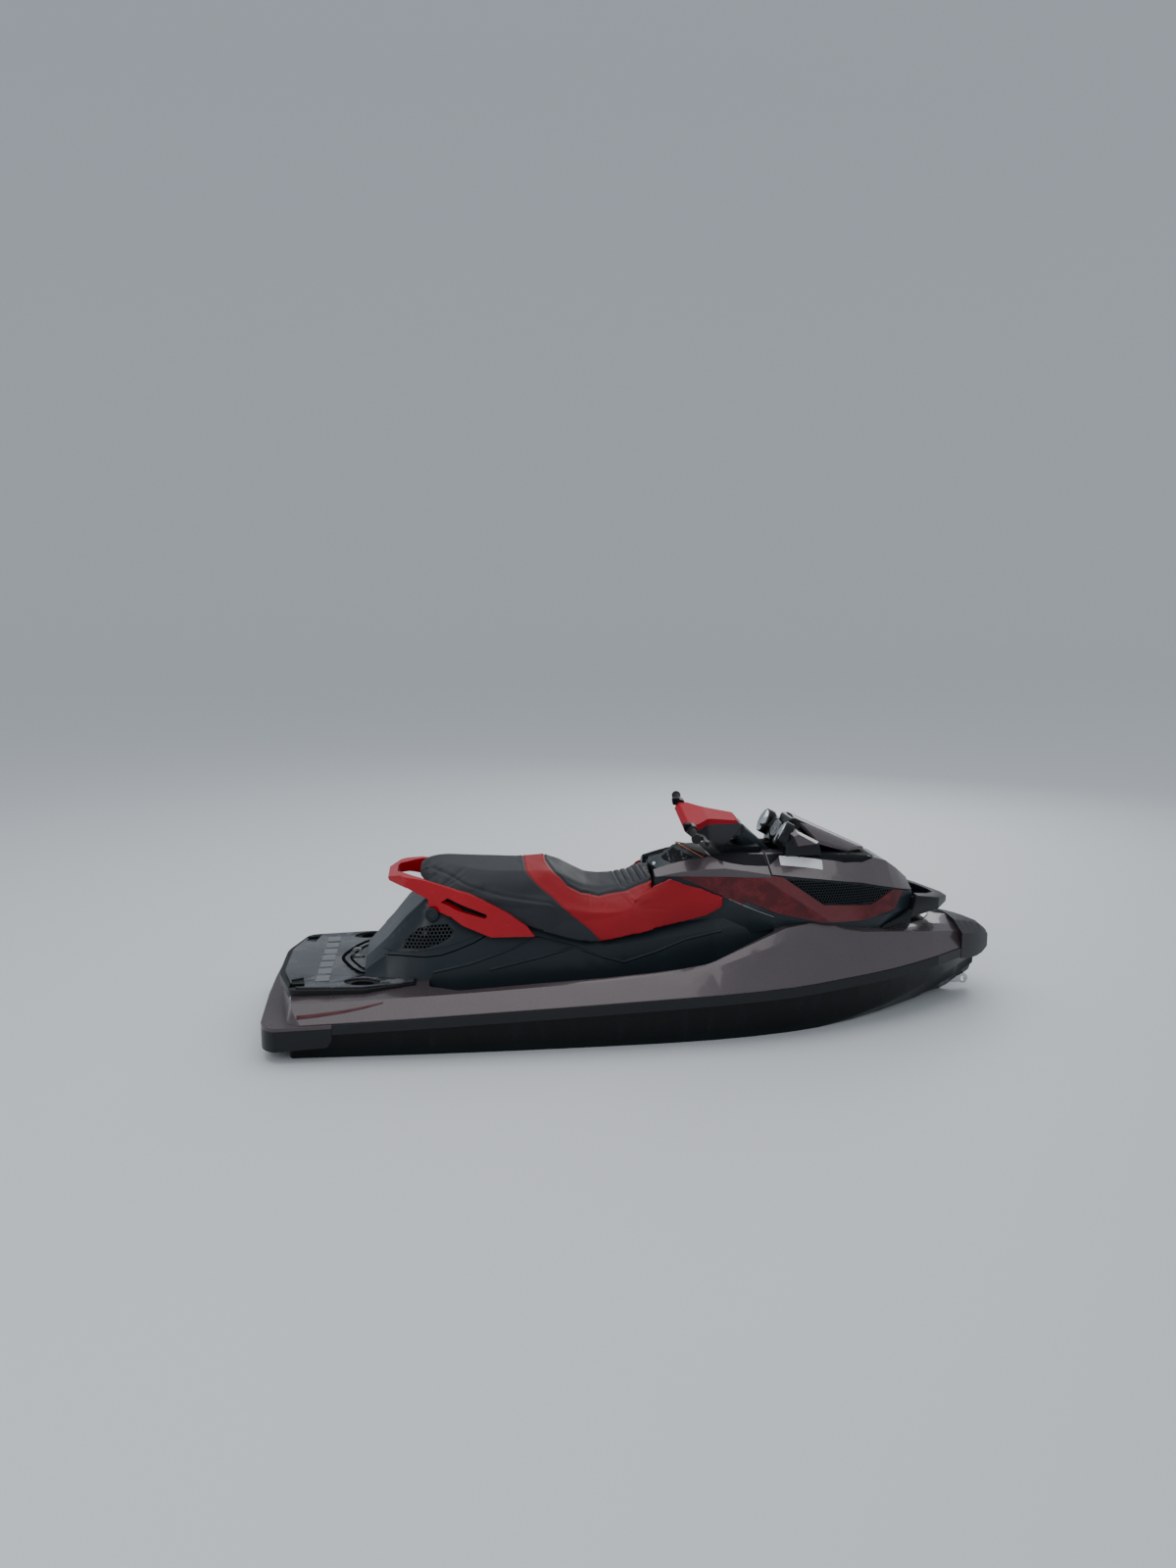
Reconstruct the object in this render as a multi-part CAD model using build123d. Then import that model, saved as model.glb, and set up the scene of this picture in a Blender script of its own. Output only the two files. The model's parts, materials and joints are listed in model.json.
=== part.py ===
from build123d import *
import os
from math import sin, cos, tan, radians

# Personal watercraft for three, afloat, in millimetres.
# X points to the bow, Y to port and Z up. The origin lies on the waterline
# plane, on the centreline, at mid length.

os.makedirs("parts", exist_ok=True)

# Driving dimensions
STERN_X = -1765
SHEER_Z = 222           # height of the hull to deck joint at mid length
SHEER_SLOPE = 0.035     # its rise towards the bow
RAIL_H = 45             # height of the rubber rail under the joint
RAIL_OUT = 8            # how far the rail stands out from the deck edge
HULL_IN = 26            # how far the hull side lies inside the deck edge
DECK_LEAN = 115         # how far the deck's stern edge leans in over 400 of height
RAIL_AFT = -1470        # where the rail meets the stern bumper
BUMPER_OUT = 35         # how far the stern bumper stands out from the transom line
RAIL_FORE = 1400        # where the rail meets the bow bumper's tail

WELL_AFT = -1050
WELL_FORE = 560
WELL_HALF = 495
WELL_FLOOR = 75
MAT_T = 12

PANEL_T = 9             # thickness of the body's outer panels
HOOD_T = 8
HOOD_AFT = 560
HOOD_HINGE = (1300, 0, 566)
HOOD_GAP = 2            # between the closed hood and what it shuts on
LID_HINGE = (262, 0, 765)

SEAT_GAP = 6            # between the seat and the saddle it sits on
PAN_T = 18              # thickness of the seat's base under the padding
SEAT_SPLIT = -505       # seam between the driver's and the passengers' padding

STEER_AT = (600, 0, 720)    # a point on the raked steering axis
STEER_RAKE = 45             # lean of the axis towards the stern, degrees
STEER_REST = 6.4            # the bar stands turned to starboard by this much
TILT_ALONG = 213            # from that point up the axis to the tilt pivot
BAR_X = 205
BAR_Z = 934
BAR_HALF = 398
BAR_R = 11
GRIP_R = 17

PUMP_Z = -105
PUMP_R = 78
PUMP_WALL = 10
BLADES = 4
VANES = 8
NOZZLE_X = -1500            # pivot of the steering nozzle
VENTURI_END = -1492
TUNNEL_HALF = 124
TUNNEL_FORE = -960
GATE_AT = (-1560, 0, -55)   # pivot of the reverse gate
STEP_AT = (-1752, 0, -128)  # pivot of the boarding step
STEP_TOP = 12               # height of its tread bar when folded up

BOW_EYE_AT = (1668, 50)     # x and z of the hole for the bow line
BOW_EYE_R = 12
STERN_EYE_AT = (-1730, 8)   # x and z of the holes for straps at the stern
STERN_EYE_R = 12
TOW_EYE_R = 13


# Helpers

def face_of(corners):
    """Face inside a loop of straight sides, each corner given as (a, b, radius)."""
    cuts = []
    for i, (a, b, r) in enumerate(corners):
        here = Vector(a, b)
        back = (Vector(*corners[i - 1][:2]) - here).normalized()
        ahead = (Vector(*corners[(i + 1) % len(corners)][:2]) - here).normalized()
        if r == 0:
            cuts.append((here, here, None))
            continue
        half = radians(back.get_angle(ahead)) / 2
        reach = r / tan(half)
        depth = r / sin(half) - r
        middle = here + (back + ahead).normalized() * depth
        cuts.append((here + back * reach, here + ahead * reach, middle))
    edges = []
    for i, (start, end, middle) in enumerate(cuts):
        if middle is not None:
            edges.append(ThreePointArc(start, middle, end))
        edges.append(Line(end, cuts[(i + 1) % len(cuts)][0]))
    return make_face(edges)


def both_sides(half):
    """Corners of a loop that is symmetric about the centreline, from its port half."""
    return half + [(-y, z, r) for y, z, r in reversed(half) if y > 0]


def both_ways(half):
    """The same for a plan outline, whose corners are (x, y, radius)."""
    return half + [(x, -y, r) for x, y, r in reversed(half) if y > 0]


def fair(rows, step):
    """The rows of a table, filled in to even steps of x along smooth curves through them."""
    slopes = []
    for i in range(len(rows)):
        before = rows[max(i - 1, 0)]
        after = rows[min(i + 1, len(rows) - 1)]
        slopes.append([(b - a) / (after[0] - before[0]) for a, b in zip(before, after)])
    filled = []
    for start, end, slope0, slope1 in zip(rows, rows[1:], slopes, slopes[1:]):
        span = end[0] - start[0]
        count = max(1, round(span / step))
        for t in [j / count for j in range(count)]:
            ease = 3 * t ** 2 - 2 * t ** 3
            rise = (t ** 3 - 2 * t ** 2 + t) * span
            settle = (t ** 3 - t ** 2) * span
            filled.append([a + (b - a) * ease + rise * m + settle * n
                           for a, b, m, n in zip(start, end, slope0, slope1)])
    return filled + [list(rows[-1])]


def at_x(x):
    """Plane across the craft, whose own axes are the craft's Y and Z."""
    return Plane(origin=(x, 0, 0), x_dir=(0, 1, 0), z_dir=(1, 0, 0))


def at_y(y):
    """Plane along the craft, whose own axes are the craft's X and Z."""
    return Plane(origin=(0, y, 0), x_dir=(1, 0, 0), z_dir=(0, -1, 0))


def skin(stations):
    """Loft along X through cross-sections, each given as (x, port half)."""
    return loft([at_x(x) * face_of(both_sides(half)) for x, half in stations], ruled=True)


def side_prism(outline, y0, y1):
    """Side view outline in X and Z, drawn out from y0 to y1."""
    return extrude(at_y(y1) * face_of(outline), y1 - y0)


def plan_prism(outline, z0, z1):
    """Plan outline in X and Y, drawn out from z0 to z1."""
    return extrude(Plane(origin=(0, 0, z0)) * face_of(outline), z1 - z0)


def block(x0, x1, y0, y1, z0, z1):
    return Pos((x0 + x1) / 2, (y0 + y1) / 2, (z0 + z1) / 2) * Box(x1 - x0, y1 - y0, z1 - z0)


def rod_x(x0, x1, r, y=0, z=0):
    return Pos((x0 + x1) / 2, y, z) * Rot(0, 90, 0) * Cylinder(r, x1 - x0)


def rod_y(y0, y1, r, x=0, z=0):
    return Pos(x, (y0 + y1) / 2, z) * Rot(90, 0, 0) * Cylinder(r, y1 - y0)


def twin(solid):
    """The solid with its mirror image on the other side of the craft."""
    return solid + mirror(solid, Plane.XZ)


def honeycomb(outline, pitch, wall, margin, y0, y1):
    """Hexagonal holes that fill a side view outline up to a margin, drawn out from y0 to y1."""
    area = offset(face_of(outline), -margin)
    box = area.bounding_box()
    middle = box.center()
    columns = int(box.size.X / pitch) + 2
    rows = int(box.size.Y / (pitch * 0.866)) + 2
    cells = Sketch()
    for place in HexLocations(pitch / 2, columns, rows, major_radius=False):
        cell = RegularPolygon(pitch / 2 - wall / 2, 6, major_radius=False)
        cells += Pos(middle.X, middle.Y) * place * cell
    return extrude(at_y(y1) * (cells & area), y1 - y0)


def sheer(x):
    return SHEER_Z + SHEER_SLOPE * x


def above_sheer(drop=0):
    """Everything above the tilted joint plane, lowered by drop."""
    return side_prism([(-2200, sheer(-2200) - drop, 0), (2200, sheer(2200) - drop, 0),
                       (2200, 1500, 0), (-2200, 1500, 0)], -900, 900)


def stern_plan(inset):
    """Plan outline that rounds the stern, this much inside its outermost line."""
    aft = STERN_X + inset
    return face_of(both_ways([(aft, 130, 500), (aft + 70, 556 - inset, 90), (-1400, 760, 0), (2200, 760, 0)]))


def stern_trim(inset, lean=0):
    """Space inside that outline, whose stern leans in by a further amount from z 100 to z 500."""
    low = Plane(origin=(0, 0, 100)) * stern_plan(inset)
    high = Plane(origin=(0, 0, 500)) * stern_plan(inset + lean)
    if lean:
        return loft([low, high], ruled=True)
    return extrude(Plane(origin=(0, 0, -500)) * stern_plan(inset), 1500)


# Hull, deck and the rubber round them
# Columns: x, rail half width, chine y, chine z, keel z.
HULL_ROWS = [
    (-1790, 572, 500, -45, -200),
    (-1150, 600, 530, -52, -235),
    (-450, 611, 545, -50, -250),
    (250, 604, 530, -35, -250),
    (750, 540, 450, -8, -235),
    (1120, 425, 320, 40, -190),
    (1400, 292, 180, 95, -70),
    (1590, 178, 92, 150, 20),
    (1700, 96, 45, 190, 95),
]
# Columns: x, rail half width, crease y, crease z, top y, top z, middle z.
DECK_ROWS = [
    (-1850, 568, 487, 230, 428, 244, 248),
    (-1150, 600, 525, 256, 440, 266, 268),
    (-450, 611, 525, 283, 500, 289, 290),
    (-50, 610, 518, 300, 490, 310, 310),
    (250, 604, 500, 334, 470, 348, 350),
    (600, 574, 450, 420, 400, 470, 470),
    (850, 510, 398, 438, 352, 482, 478),
    (1120, 425, 326, 414, 270, 432, 440),
    (1400, 292, 232, 378, 160, 396, 412),
    (1590, 178, 140, 347, 90, 366, 392),
    (1720, 84, 62, 318, 40, 330, 340),
]
STRAKE_SHARE = 0.55     # place of the lifting strake between the keel and the chine


def hull_section(x, rail, chine_y, chine_z, keel):
    side = rail - HULL_IN
    strake_y = chine_y * STRAKE_SHARE
    strake_z = keel + (chine_z - keel) * 0.48
    return (x, [(0, keel, 0), (strake_y, strake_z, 0), (strake_y + 14, strake_z + 2, 0),
                (chine_y, chine_z, 0), (chine_y + 12, chine_z + 16, 0),
                (side, sheer(x) - RAIL_H, 0), (side, sheer(x) + 60, 0)])


def deck_section(x, rail, crease_y, crease_z, top_y, top_z, mid_z):
    return (x, [(rail, sheer(x) - 30, 0), (rail, sheer(x) + 6, 0), (crease_y, crease_z, 0),
                (top_y, top_z, 0), (0, mid_z, 0)])


def rail_section(x, rail):
    outer = rail + RAIL_OUT
    return (x, [(outer, sheer(x) - 160, 0), (outer, sheer(x) + 60, 0)])


def well_space(z0, z1):
    """Both footwells and the saddle between them, in plan."""
    half = [(WELL_AFT, 430, 40), (WELL_AFT + 130, WELL_HALF, 60), (210, WELL_HALF - 15, 200),
            (WELL_FORE, 378, 30)]
    return plan_prism(both_ways(half), z0, z1)


full_hull = skin([hull_section(*row) for row in fair(HULL_ROWS, 160)]) & stern_trim(34)
engine_bay = block(-430, 330, -215, 215, -135, 900)
tunnel = block(-1900, TUNNEL_FORE, -TUNNEL_HALF, TUNNEL_HALF, -400, 0)
tunnel += block(-1900, -1535, -TUNNEL_HALF, TUNNEL_HALF, -400, 46)
intake_side = [(-1000, -190, 0), (-1000, -30, 0), (-900, -30, 0), (-480, -320, 0), (-900, -320, 0)]
intake = side_prism(intake_side, -72, 72)
shaft_hole = rod_x(-1000, -420, 20, z=PUMP_Z)
hull = full_hull - above_sheer() - well_space(WELL_FLOOR, 900) - engine_bay - tunnel - intake - shaft_hole

storage_space = plan_prism(both_ways([(680, 190, 40), (1160, 150, 40)]), 330, 900)
full_deck = skin([deck_section(*row) for row in fair(DECK_ROWS, 160)])
full_deck = (full_deck & stern_trim(6, DECK_LEAN)) & above_sheer()
nose_side = [(1598, 600, 0), (1598, 405, 0), (1556, 268, 0), (2000, 268, 0), (2000, 600, 0)]
nose_cut = side_prism(nose_side, -500, 500)
deck = full_deck - well_space(0, 900) - engine_bay - storage_space - nose_cut

rubber = skin([rail_section(row[0], row[1]) for row in fair(DECK_ROWS, 160)]) - full_hull - above_sheer()
rail_band = (rubber & above_sheer(RAIL_H)) - well_space(0, 900)
rail = rail_band & block(RAIL_AFT, RAIL_FORE, -800, 800, 0, 900)
bumper_side = [(-1900, 40, 0), (RAIL_AFT - 20, 68, 25), (RAIL_AFT, 108, 0), (RAIL_AFT, 400, 0),
               (-1900, 400, 0)]
bumper_x = STERN_X - BUMPER_OUT
bumper_plan = [(bumper_x, 130, 500), (bumper_x + 18, 580, 125), (-1400, 640, 0), (-1300, 640, 0)]
stern_bumper = (rubber & side_prism(bumper_side, -800, 800)) & plan_prism(both_ways(bumper_plan), 0, 400)
stern_bumper -= tunnel

# Columns: x, half width, top z at the edge, top z in the middle, bottom z.
BUMPER_ROWS = [
    (1560, 206, 352, 395, 225),
    (1640, 160, 336, 378, 212),
    (1720, 98, 318, 350, 215),
    (1768, 52, 296, 312, 232),
]
bow_bumper = skin([(x, [(half, low, 0), (half, edge, 0), (half * 0.5, middle, 0), (0, middle + 6, 0)])
                   for x, half, edge, middle, low in fair(BUMPER_ROWS, 40)])
bow_bumper = bow_bumper - deck - full_hull
bow_bumper += (rail_band & block(RAIL_FORE, 1640, -800, 800, 0, 900)) - deck

sponson_side = [(-1540, -62, 0), (-1490, -14, 20), (-1000, -18, 10), (-930, -40, 0), (-990, -62, 0)]
sponsons = twin(side_prism(sponson_side, 470, 590)) - full_hull

# Saddle that carries the seat
# Columns: x, foot y, waist y, waist z, top y, top z.
SADDLE_ROWS = [
    (-1345, 300, 250, 300, 130, 325),
    (-1240, 330, 270, 380, 170, 430),
    (-1060, 345, 285, 470, 205, 620),
    (-850, 335, 285, 440, 190, 640),
    (-400, 300, 270, 360, 160, 575),
    (0, 292, 272, 400, 150, 560),
    (300, 290, 278, 440, 200, 590),
    (450, 312, 300, 450, 240, 600),
    (640, 335, 330, 440, 260, 540),
]


def saddle_form(grow, lift):
    rows = []
    for x, foot, waist_y, waist_z, top_y, top_z in fair(SADDLE_ROWS, 120):
        rows.append((x, [(foot + grow, WELL_FLOOR, 0), (foot - 8 + grow, 260, 0),
                         (waist_y + grow, waist_z, 0), (top_y + grow, top_z + lift, 25)]))
    return skin(rows)


full_saddle = saddle_form(0, 0)
engine_room = block(-440, 340, -225, 225, 60, 500) + block(-360, 260, -130, 130, 400, 800)
saddle = full_saddle - deck - hull - engine_room

vent_outline = [(-1292, 388, 0), (-1060, 612, 20), (-1000, 590, 0), (-800, 462, 0), (-960, 416, 60),
                (-1120, 392, 60)]
grille_outline = [(-1225, 412, 20), (-1130, 500, 20), (-1010, 505, 20), (-1020, 440, 20), (-1110, 410, 30)]
vent_cover = saddle_form(7, 0) - full_saddle
vent_panels = vent_cover & side_prism(vent_outline, 180, 500)
vent_panels -= honeycomb(grille_outline, 46, 8, 4, 180, 500)
vent_panels += (rod_y(200, 300, 30, -1034, 562) - full_saddle) & block(-1100, -900, 0, 282, 0, 900)
vent_panels = twin(vent_panels) - full_deck

mat_plan = [(WELL_AFT + 40, 350, 15), (WELL_AFT + 120, 460, 40), (100, 455, 150), (430, 390, 20),
            (430, 340, 15)]
footwell_mats = twin(plan_prism(mat_plan, WELL_FLOOR, WELL_FLOOR + MAT_T)) - full_saddle

# Stern platform
platform_half = [(-1742, 170, 300), (-1664, 428, 60), (-1340, 455, 80), (-1110, 395, 10), (-1110, 60, 0)]
platform = plan_prism(both_ways(platform_half), 235, 276) - deck - full_saddle - full_hull
pad_half = [(-1716, 165, 280), (-1652, 404, 50), (-1345, 432, 70), (-1118, 378, 10), (-1118, 60, 0)]
platform_pad = plan_prism(both_ways(pad_half), 276, 284) - saddle_form(8, 0)
platform_pad -= block(-1430, -1360, -16, 16, 270, 300)
for side in (-1, 1):
    slot = block(-1672, -1608, side * 362 - 24, side * 362 + 24, 262, 300)
    recess = Pos(-1348, side * 372, 280) * Rot(0, 0, 12 * side) * extrude(Ellipse(52, 36), 20, both=True)
    platform -= slot + (recess & block(-1420, -1280, -500, 500, 258, 300))
    platform_pad -= slot + recess

# Front body: console, cowl, hood and side panels
# Columns: x, foot y, foot z, wide y, wide z, edge y, edge z, top y, top z.
FRONT_ROWS = [
    (16, 226, 400, 240, 560, 206, 688, 110, 720),
    (140, 228, 390, 246, 570, 214, 712, 120, 752),
    (340, 250, 380, 270, 575, 244, 730, 140, 764),
    (450, 290, 380, 322, 550, 270, 718, 146, 768),
    (560, 330, 380, 362, 535, 290, 702, 150, 770),
    (800, 345, 380, 376, 505, 304, 675, 170, 764),
    (1000, 315, 370, 350, 492, 285, 648, 150, 748),
    (1180, 250, 360, 282, 495, 238, 606, 116, 706),
    (1300, 170, 360, 200, 500, 180, 566, 84, 612),
]
SPLIT_LINE = [(HOOD_AFT, 702, 0), (800, 675, 0), (1000, 648, 0), (1180, 606, 0), (1400, 548, 0)]


def front_skin(grow):
    rows = []
    for x, foot_y, foot_z, wide_y, wide_z, edge_y, edge_z, top_y, top_z in fair(FRONT_ROWS, 80):
        rows.append((x, [(foot_y + grow, foot_z, 0), (wide_y + grow, wide_z, 0), (edge_y + grow, edge_z, 0),
                         (top_y + grow, top_z + grow, 0)]))
    return skin(rows)


full_front = front_skin(0)
front_cover = front_skin(PANEL_T)
hood_space = side_prism(SPLIT_LINE + [(1400, 1000, 0), (HOOD_AFT, 1000, 0)], -500, 500)
glove_space = plan_prism(both_ways([(5, 156, 0), (289, 156, 20)]), 601, 900)
neck_space = side_prism([(460, 640, 0), (460, 900, 0), (700, 900, 0), (700, 640, 0)], -96, 96)

front_body = full_front - hood_space - full_saddle - full_deck - storage_space - glove_space - neck_space
front_body &= block(0, 1400, -500, 500, 0, 700)

cowl = (front_cover - front_body - hood_space - full_saddle) & block(14, HOOD_AFT - 6, -400, 400, 690, 900)
cowl = cowl - glove_space - neck_space

collar_side = [(300, 755, 0), (410, 800, 20), (540, 806, 0), (552, 755, 0)]
collar_plan = [(296, 96, 20), (552, 142, 20)]
neck_collar = side_prism(collar_side, -150, 150) & plan_prism(both_ways(collar_plan), 700, 900)

hood_shell = (front_cover & (Pos(0, 0, HOOD_GAP) * hood_space)) & block(HOOD_AFT, 1300, -500, 500, 0, 1000)
hood_shell -= neck_space
hinge_x, _, hinge_z = HOOD_HINGE
hood_arm = side_prism([(hinge_x - 62, hinge_z + 94, 0), (hinge_x - 3, hinge_z + 50, 0),
                       (hinge_x + 9, hinge_z, 0), (hinge_x - 9, hinge_z, 0)], 34, 42)
hood_arms = twin(hood_arm + rod_y(34, 42, 9, hinge_x, hinge_z)) + rod_y(-42, 42, 4, hinge_x, hinge_z)
hood = (hood_shell - front_skin(PANEL_T - HOOD_T)) + hood_arms
arm_slot = block(hinge_x - 48, hinge_x + 20, 29, 47, hinge_z - 15, hinge_z + 60)
front_body += rod_y(-29, 29, 10, hinge_x, hinge_z)
front_body = front_body - twin(arm_slot) - rod_y(-50, 50, 4.6, hinge_x, hinge_z)

fairing_outline = [(150, 700, 0), (330, 728, 0), (560, 700, 0), (612, 690, 0), (795, 565, 20),
                   (1040, 549, 20), (1172, 600, 0), (1240, 586, 0), (1172, 514, 0), (986, 484, 0),
                   (787, 484, 0), (555, 540, 0), (381, 602, 0)]
mesh_outline = [(618, 688, 0), (796, 568, 18), (1040, 552, 18), (1168, 603, 0), (1000, 642, 0),
                (800, 668, 0)]
panel_shell = front_cover - full_front - hood_space
side_fairings = twin(panel_shell & side_prism(fairing_outline, 150, 500)) - cowl
side_meshes = panel_shell & side_prism(mesh_outline, 150, 500)
side_meshes -= honeycomb(mesh_outline, 48, 8, 8, 150, 500)
side_meshes = twin(side_meshes) - side_fairings

# Black lip round the nose, on a wall that stands on the deck
lip_outer = [(1085, 312, 0), (1265, 276, 30), (1450, 160, 40), (1542, 40, 30)]
lip_inner = [(1085, 284, 0), (1245, 244, 30), (1400, 120, 30), (1470, 30, 20)]
wall_outer = [(1150, 276, 0), (1255, 254, 30), (1420, 140, 40), (1500, 34, 30)]
lip_ring = plan_prism(both_ways(lip_outer), 380, 620) - plan_prism(both_ways(lip_inner), 300, 700)
wall_ring = plan_prism(both_ways(wall_outer), 380, 620) - plan_prism(both_ways(lip_inner), 300, 700)
lip_side = [(1080, 410, 0), (1080, 428, 0), (1265, 500, 0), (1300, 566, 0), (1545, 502, 0), (1545, 476, 0),
            (1440, 472, 0), (1265, 466, 0)]
wall_side = [(1150, 380, 0), (1150, 445, 0), (1265, 490, 0), (1440, 490, 0), (1545, 490, 0), (1545, 360, 0)]
bow_trim = (lip_ring & side_prism(lip_side, -400, 400)) + (wall_ring & side_prism(wall_side, -400, 400))
bow_trim = bow_trim - full_deck - front_cover

# What the hood carries
pod_side = [(656, 776, 0), (704, 928, 10), (730, 930, 0), (900, 846, 0), (900, 740, 0), (700, 740, 0)]
pod_plan = [(650, 70, 10), (740, 88, 0), (900, 40, 0)]
gauge_pod = side_prism(pod_side, -88, 88) & plan_prism(both_ways(pod_plan), 700, 1000)
gauge_face = Pos(668, 0, 862) * Rot(0, -68, 0) * extrude(Ellipse(40, 60), 14)
gauge_pod = gauge_pod - gauge_face - hood_shell - full_front

mirror_housings = Part()
mirror_glass = Part()
for side in (-1, 1):
    mirror_at = Pos(636, side * 156, 876) * Rot(0, 0, side * 12) * Rot(0, -62, 0)
    glass = mirror_at * extrude(Ellipse(56, 38), 4)
    cup = mirror_at * Pos(0, 0, -44) * extrude(Ellipse(64, 46), 46)
    stalk_y = sorted((side * 84, side * 196))
    stalk = side_prism([(650, 740, 0), (652, 852, 0), (700, 900, 20), (820, 818, 0), (840, 740, 0)], *stalk_y)
    mirror_housings += (cup + stalk) - glass - hood_shell - gauge_pod - full_front
    mirror_glass += glass

fin_root = at_y(196) * face_of([(663, 884, 0), (691, 815, 0), (814, 834, 0), (694, 896, 0)])
fin_tip = at_y(240) * face_of([(678, 872, 0), (699, 824, 0), (790, 833, 0), (702, 882, 0)])
mirror_fins = twin(loft([fin_root, fin_tip], ruled=True)) - mirror_housings - hood_shell

# Columns: x, half width of the wind deflector plate.
DEFLECTOR_ROWS = [(727, 62), (820, 140), (990, 118), (1096, 40)]
deflector = plan_prism(both_ways([(x, half, 8) for x, half in DEFLECTOR_ROWS]), 600, 1000)
deflector &= side_prism([(727, 938, 0), (1096, 767, 0), (1094, 752, 0), (727, 918, 0)], -200, 200)
deflector = deflector - gauge_pod - mirror_housings
deflector_stalk = side_prism([(760, 740, 0), (760, 904, 0), (1000, 795, 0), (1000, 720, 0)], -24, 24)
deflector += deflector_stalk - hood_shell - full_front - gauge_pod - mirror_housings

# Glove box
# Columns: y, x and z of the aft edge, x and z of the fore edge.
LID_ROWS = [(-148, 46, 708, 262, 760), (0, 16, 712, 155, 806), (148, 46, 708, 262, 760)]
lid_faces = [at_y(y) * face_of([(aft_x, aft_z, 0), (fore_x, fore_z, 0), (fore_x, fore_z - 26, 0),
                                (aft_x, aft_z - 12, 0)])
             for y, aft_x, aft_z, fore_x, fore_z in LID_ROWS]
glovebox_lid = loft(lid_faces, ruled=True) + twin(rod_y(132, 144, 5, LID_HINGE[0], LID_HINGE[2]))
for x in (80, 110, 140, 170, 200):
    rib = side_prism([(x, 690, 0), (x + 14, 690, 0), (x + 20, 830, 0), (x + 6, 830, 0)], -112, 112)
    glovebox_lid -= rib & (Pos(0, 0, 14) * glovebox_lid - Pos(0, 0, -4) * glovebox_lid)
glove_tub = plan_prism(both_ways([(30, 150, 20), (285, 145, 20)]), 605, 760)
tub_side = [(20, 605, 0), (20, 690, 0), (46, 696, 0), (262, 732, 0), (290, 738, 0), (290, 605, 0)]
glove_tub &= side_prism(tub_side, -200, 200)
glove_tub = glove_tub - block(46, 265, -125, 125, 620, 900) - full_saddle
for drop in (0, -3):
    lowered_lid = Pos(0, 0, drop) * glovebox_lid
    glove_tub -= lowered_lid
    cowl -= lowered_lid
    front_body -= lowered_lid

# Seat
# Columns: x, flap y, flap z, waist y, waist z, shoulder y, shoulder z, top z.
SEAT_ROWS = [
    (-1090, 70, 700, 96, 708, 60, 724, 732),
    (-1060, 150, 676, 168, 690, 100, 744, 762),
    (-1000, 222, 650, 230, 680, 128, 744, 776),
    (-820, 284, 572, 276, 640, 158, 726, 768),
    (-600, 300, 490, 288, 600, 168, 714, 756),
    (-500, 306, 455, 290, 590, 162, 716, 763),
    (-420, 309, 430, 288, 570, 146, 692, 738),
    (-300, 310, 405, 283, 545, 128, 632, 674),
    (-170, 310, 420, 280, 545, 128, 628, 665),
    (-80, 308, 440, 278, 560, 134, 646, 680),
    (5, 304, 458, 272, 585, 150, 670, 703),
]
# Columns: x, low y, low z, high y, high z of the red wings beside the console.
WING_ROWS = [
    (0, 304, 457, 262, 686),
    (120, 303, 482, 264, 668),
    (240, 300, 508, 272, 638),
    (330, 296, 550, 288, 602),
]
WING_T = 16


def seat_section(x, flap_y, flap_z, waist_y, waist_z, shoulder_y, shoulder_z, top_z):
    return (x, [(flap_y, flap_z, 0), (waist_y, waist_z, 0), (shoulder_y, shoulder_z, 20), (0, top_z, 0)])


def wing_section(x, low_y, low_z, high_y, high_z):
    corners = [(low_y, low_z, 0), (high_y, high_z, 0), (high_y - WING_T, high_z, 0),
               (low_y - WING_T, low_z, 0)]
    return at_x(x) * face_of(corners)


full_seat = skin([seat_section(*row) for row in fair(SEAT_ROWS, 70)])
padding = full_seat - saddle_form(SEAT_GAP + PAN_T, SEAT_GAP + PAN_T)
seat_pan = (full_seat & saddle_form(SEAT_GAP + PAN_T, SEAT_GAP + PAN_T)) - saddle_form(SEAT_GAP, SEAT_GAP)
seat_front = padding & block(SEAT_SPLIT, 100, -400, 400, 0, 1000)
seat_front += twin(loft([wing_section(*row) for row in fair(WING_ROWS, 120)], ruled=True))
seat_rear = padding & block(-1300, SEAT_SPLIT - 3, -400, 400, 0, 1000)

# Grab handle behind the seat
handle_side = [(-1240, 700, 8), (-1180, 722, 0), (-1080, 716, 0), (-960, 688, 0), (-864, 662, 0),
               (-790, 624, 0), (-686, 566, 0), (-600, 502, 0), (-565, 454, 0), (-766, 456, 0),
               (-895, 516, 0), (-1050, 626, 0), (-1140, 668, 0), (-1228, 684, 0)]
ring_outer = [(-1242, 90, 70), (-1150, 205, 60), (-900, 324, 120), (-560, 332, 0)]
ring_inner = [(-1191, 72, 50), (-1115, 163, 50), (-1053, 225, 0), (-900, 294, 60), (-560, 314, 0)]
slot_side = [(-1000, 612, 8), (-960, 640, 8), (-780, 562, 8), (-790, 545, 8)]
root_side = [(-1050, 590, 0), (-1050, 636, 0), (-960, 606, 0), (-896, 574, 0), (-880, 540, 0), (-960, 556, 0)]
grab_handle = plan_prism(both_ways(ring_outer), 400, 800) - plan_prism(both_ways(ring_inner), 300, 900)
grab_handle = (grab_handle & side_prism(handle_side, -400, 400)) - side_prism(slot_side, -400, 400)
root = side_prism(root_side, 180, 400) & plan_prism(both_ways(ring_outer), 400, 800)
grab_handle += twin(root) - full_saddle - vent_panels

# Steering
rake = Vector(-sin(radians(STEER_RAKE)), 0, cos(radians(STEER_RAKE)))
steer_plane = Plane(origin=STEER_AT, x_dir=(0, 1, 0), z_dir=rake)
steer_axis = Axis(STEER_AT, rake)
tilt_at = Vector(*STEER_AT) + rake * TILT_ALONG
neck_collar -= Pos(*STEER_AT) * Rot(0, -STEER_RAKE, 0) * Cylinder(72, 800)
neck_collar = neck_collar - cowl - front_body


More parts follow.
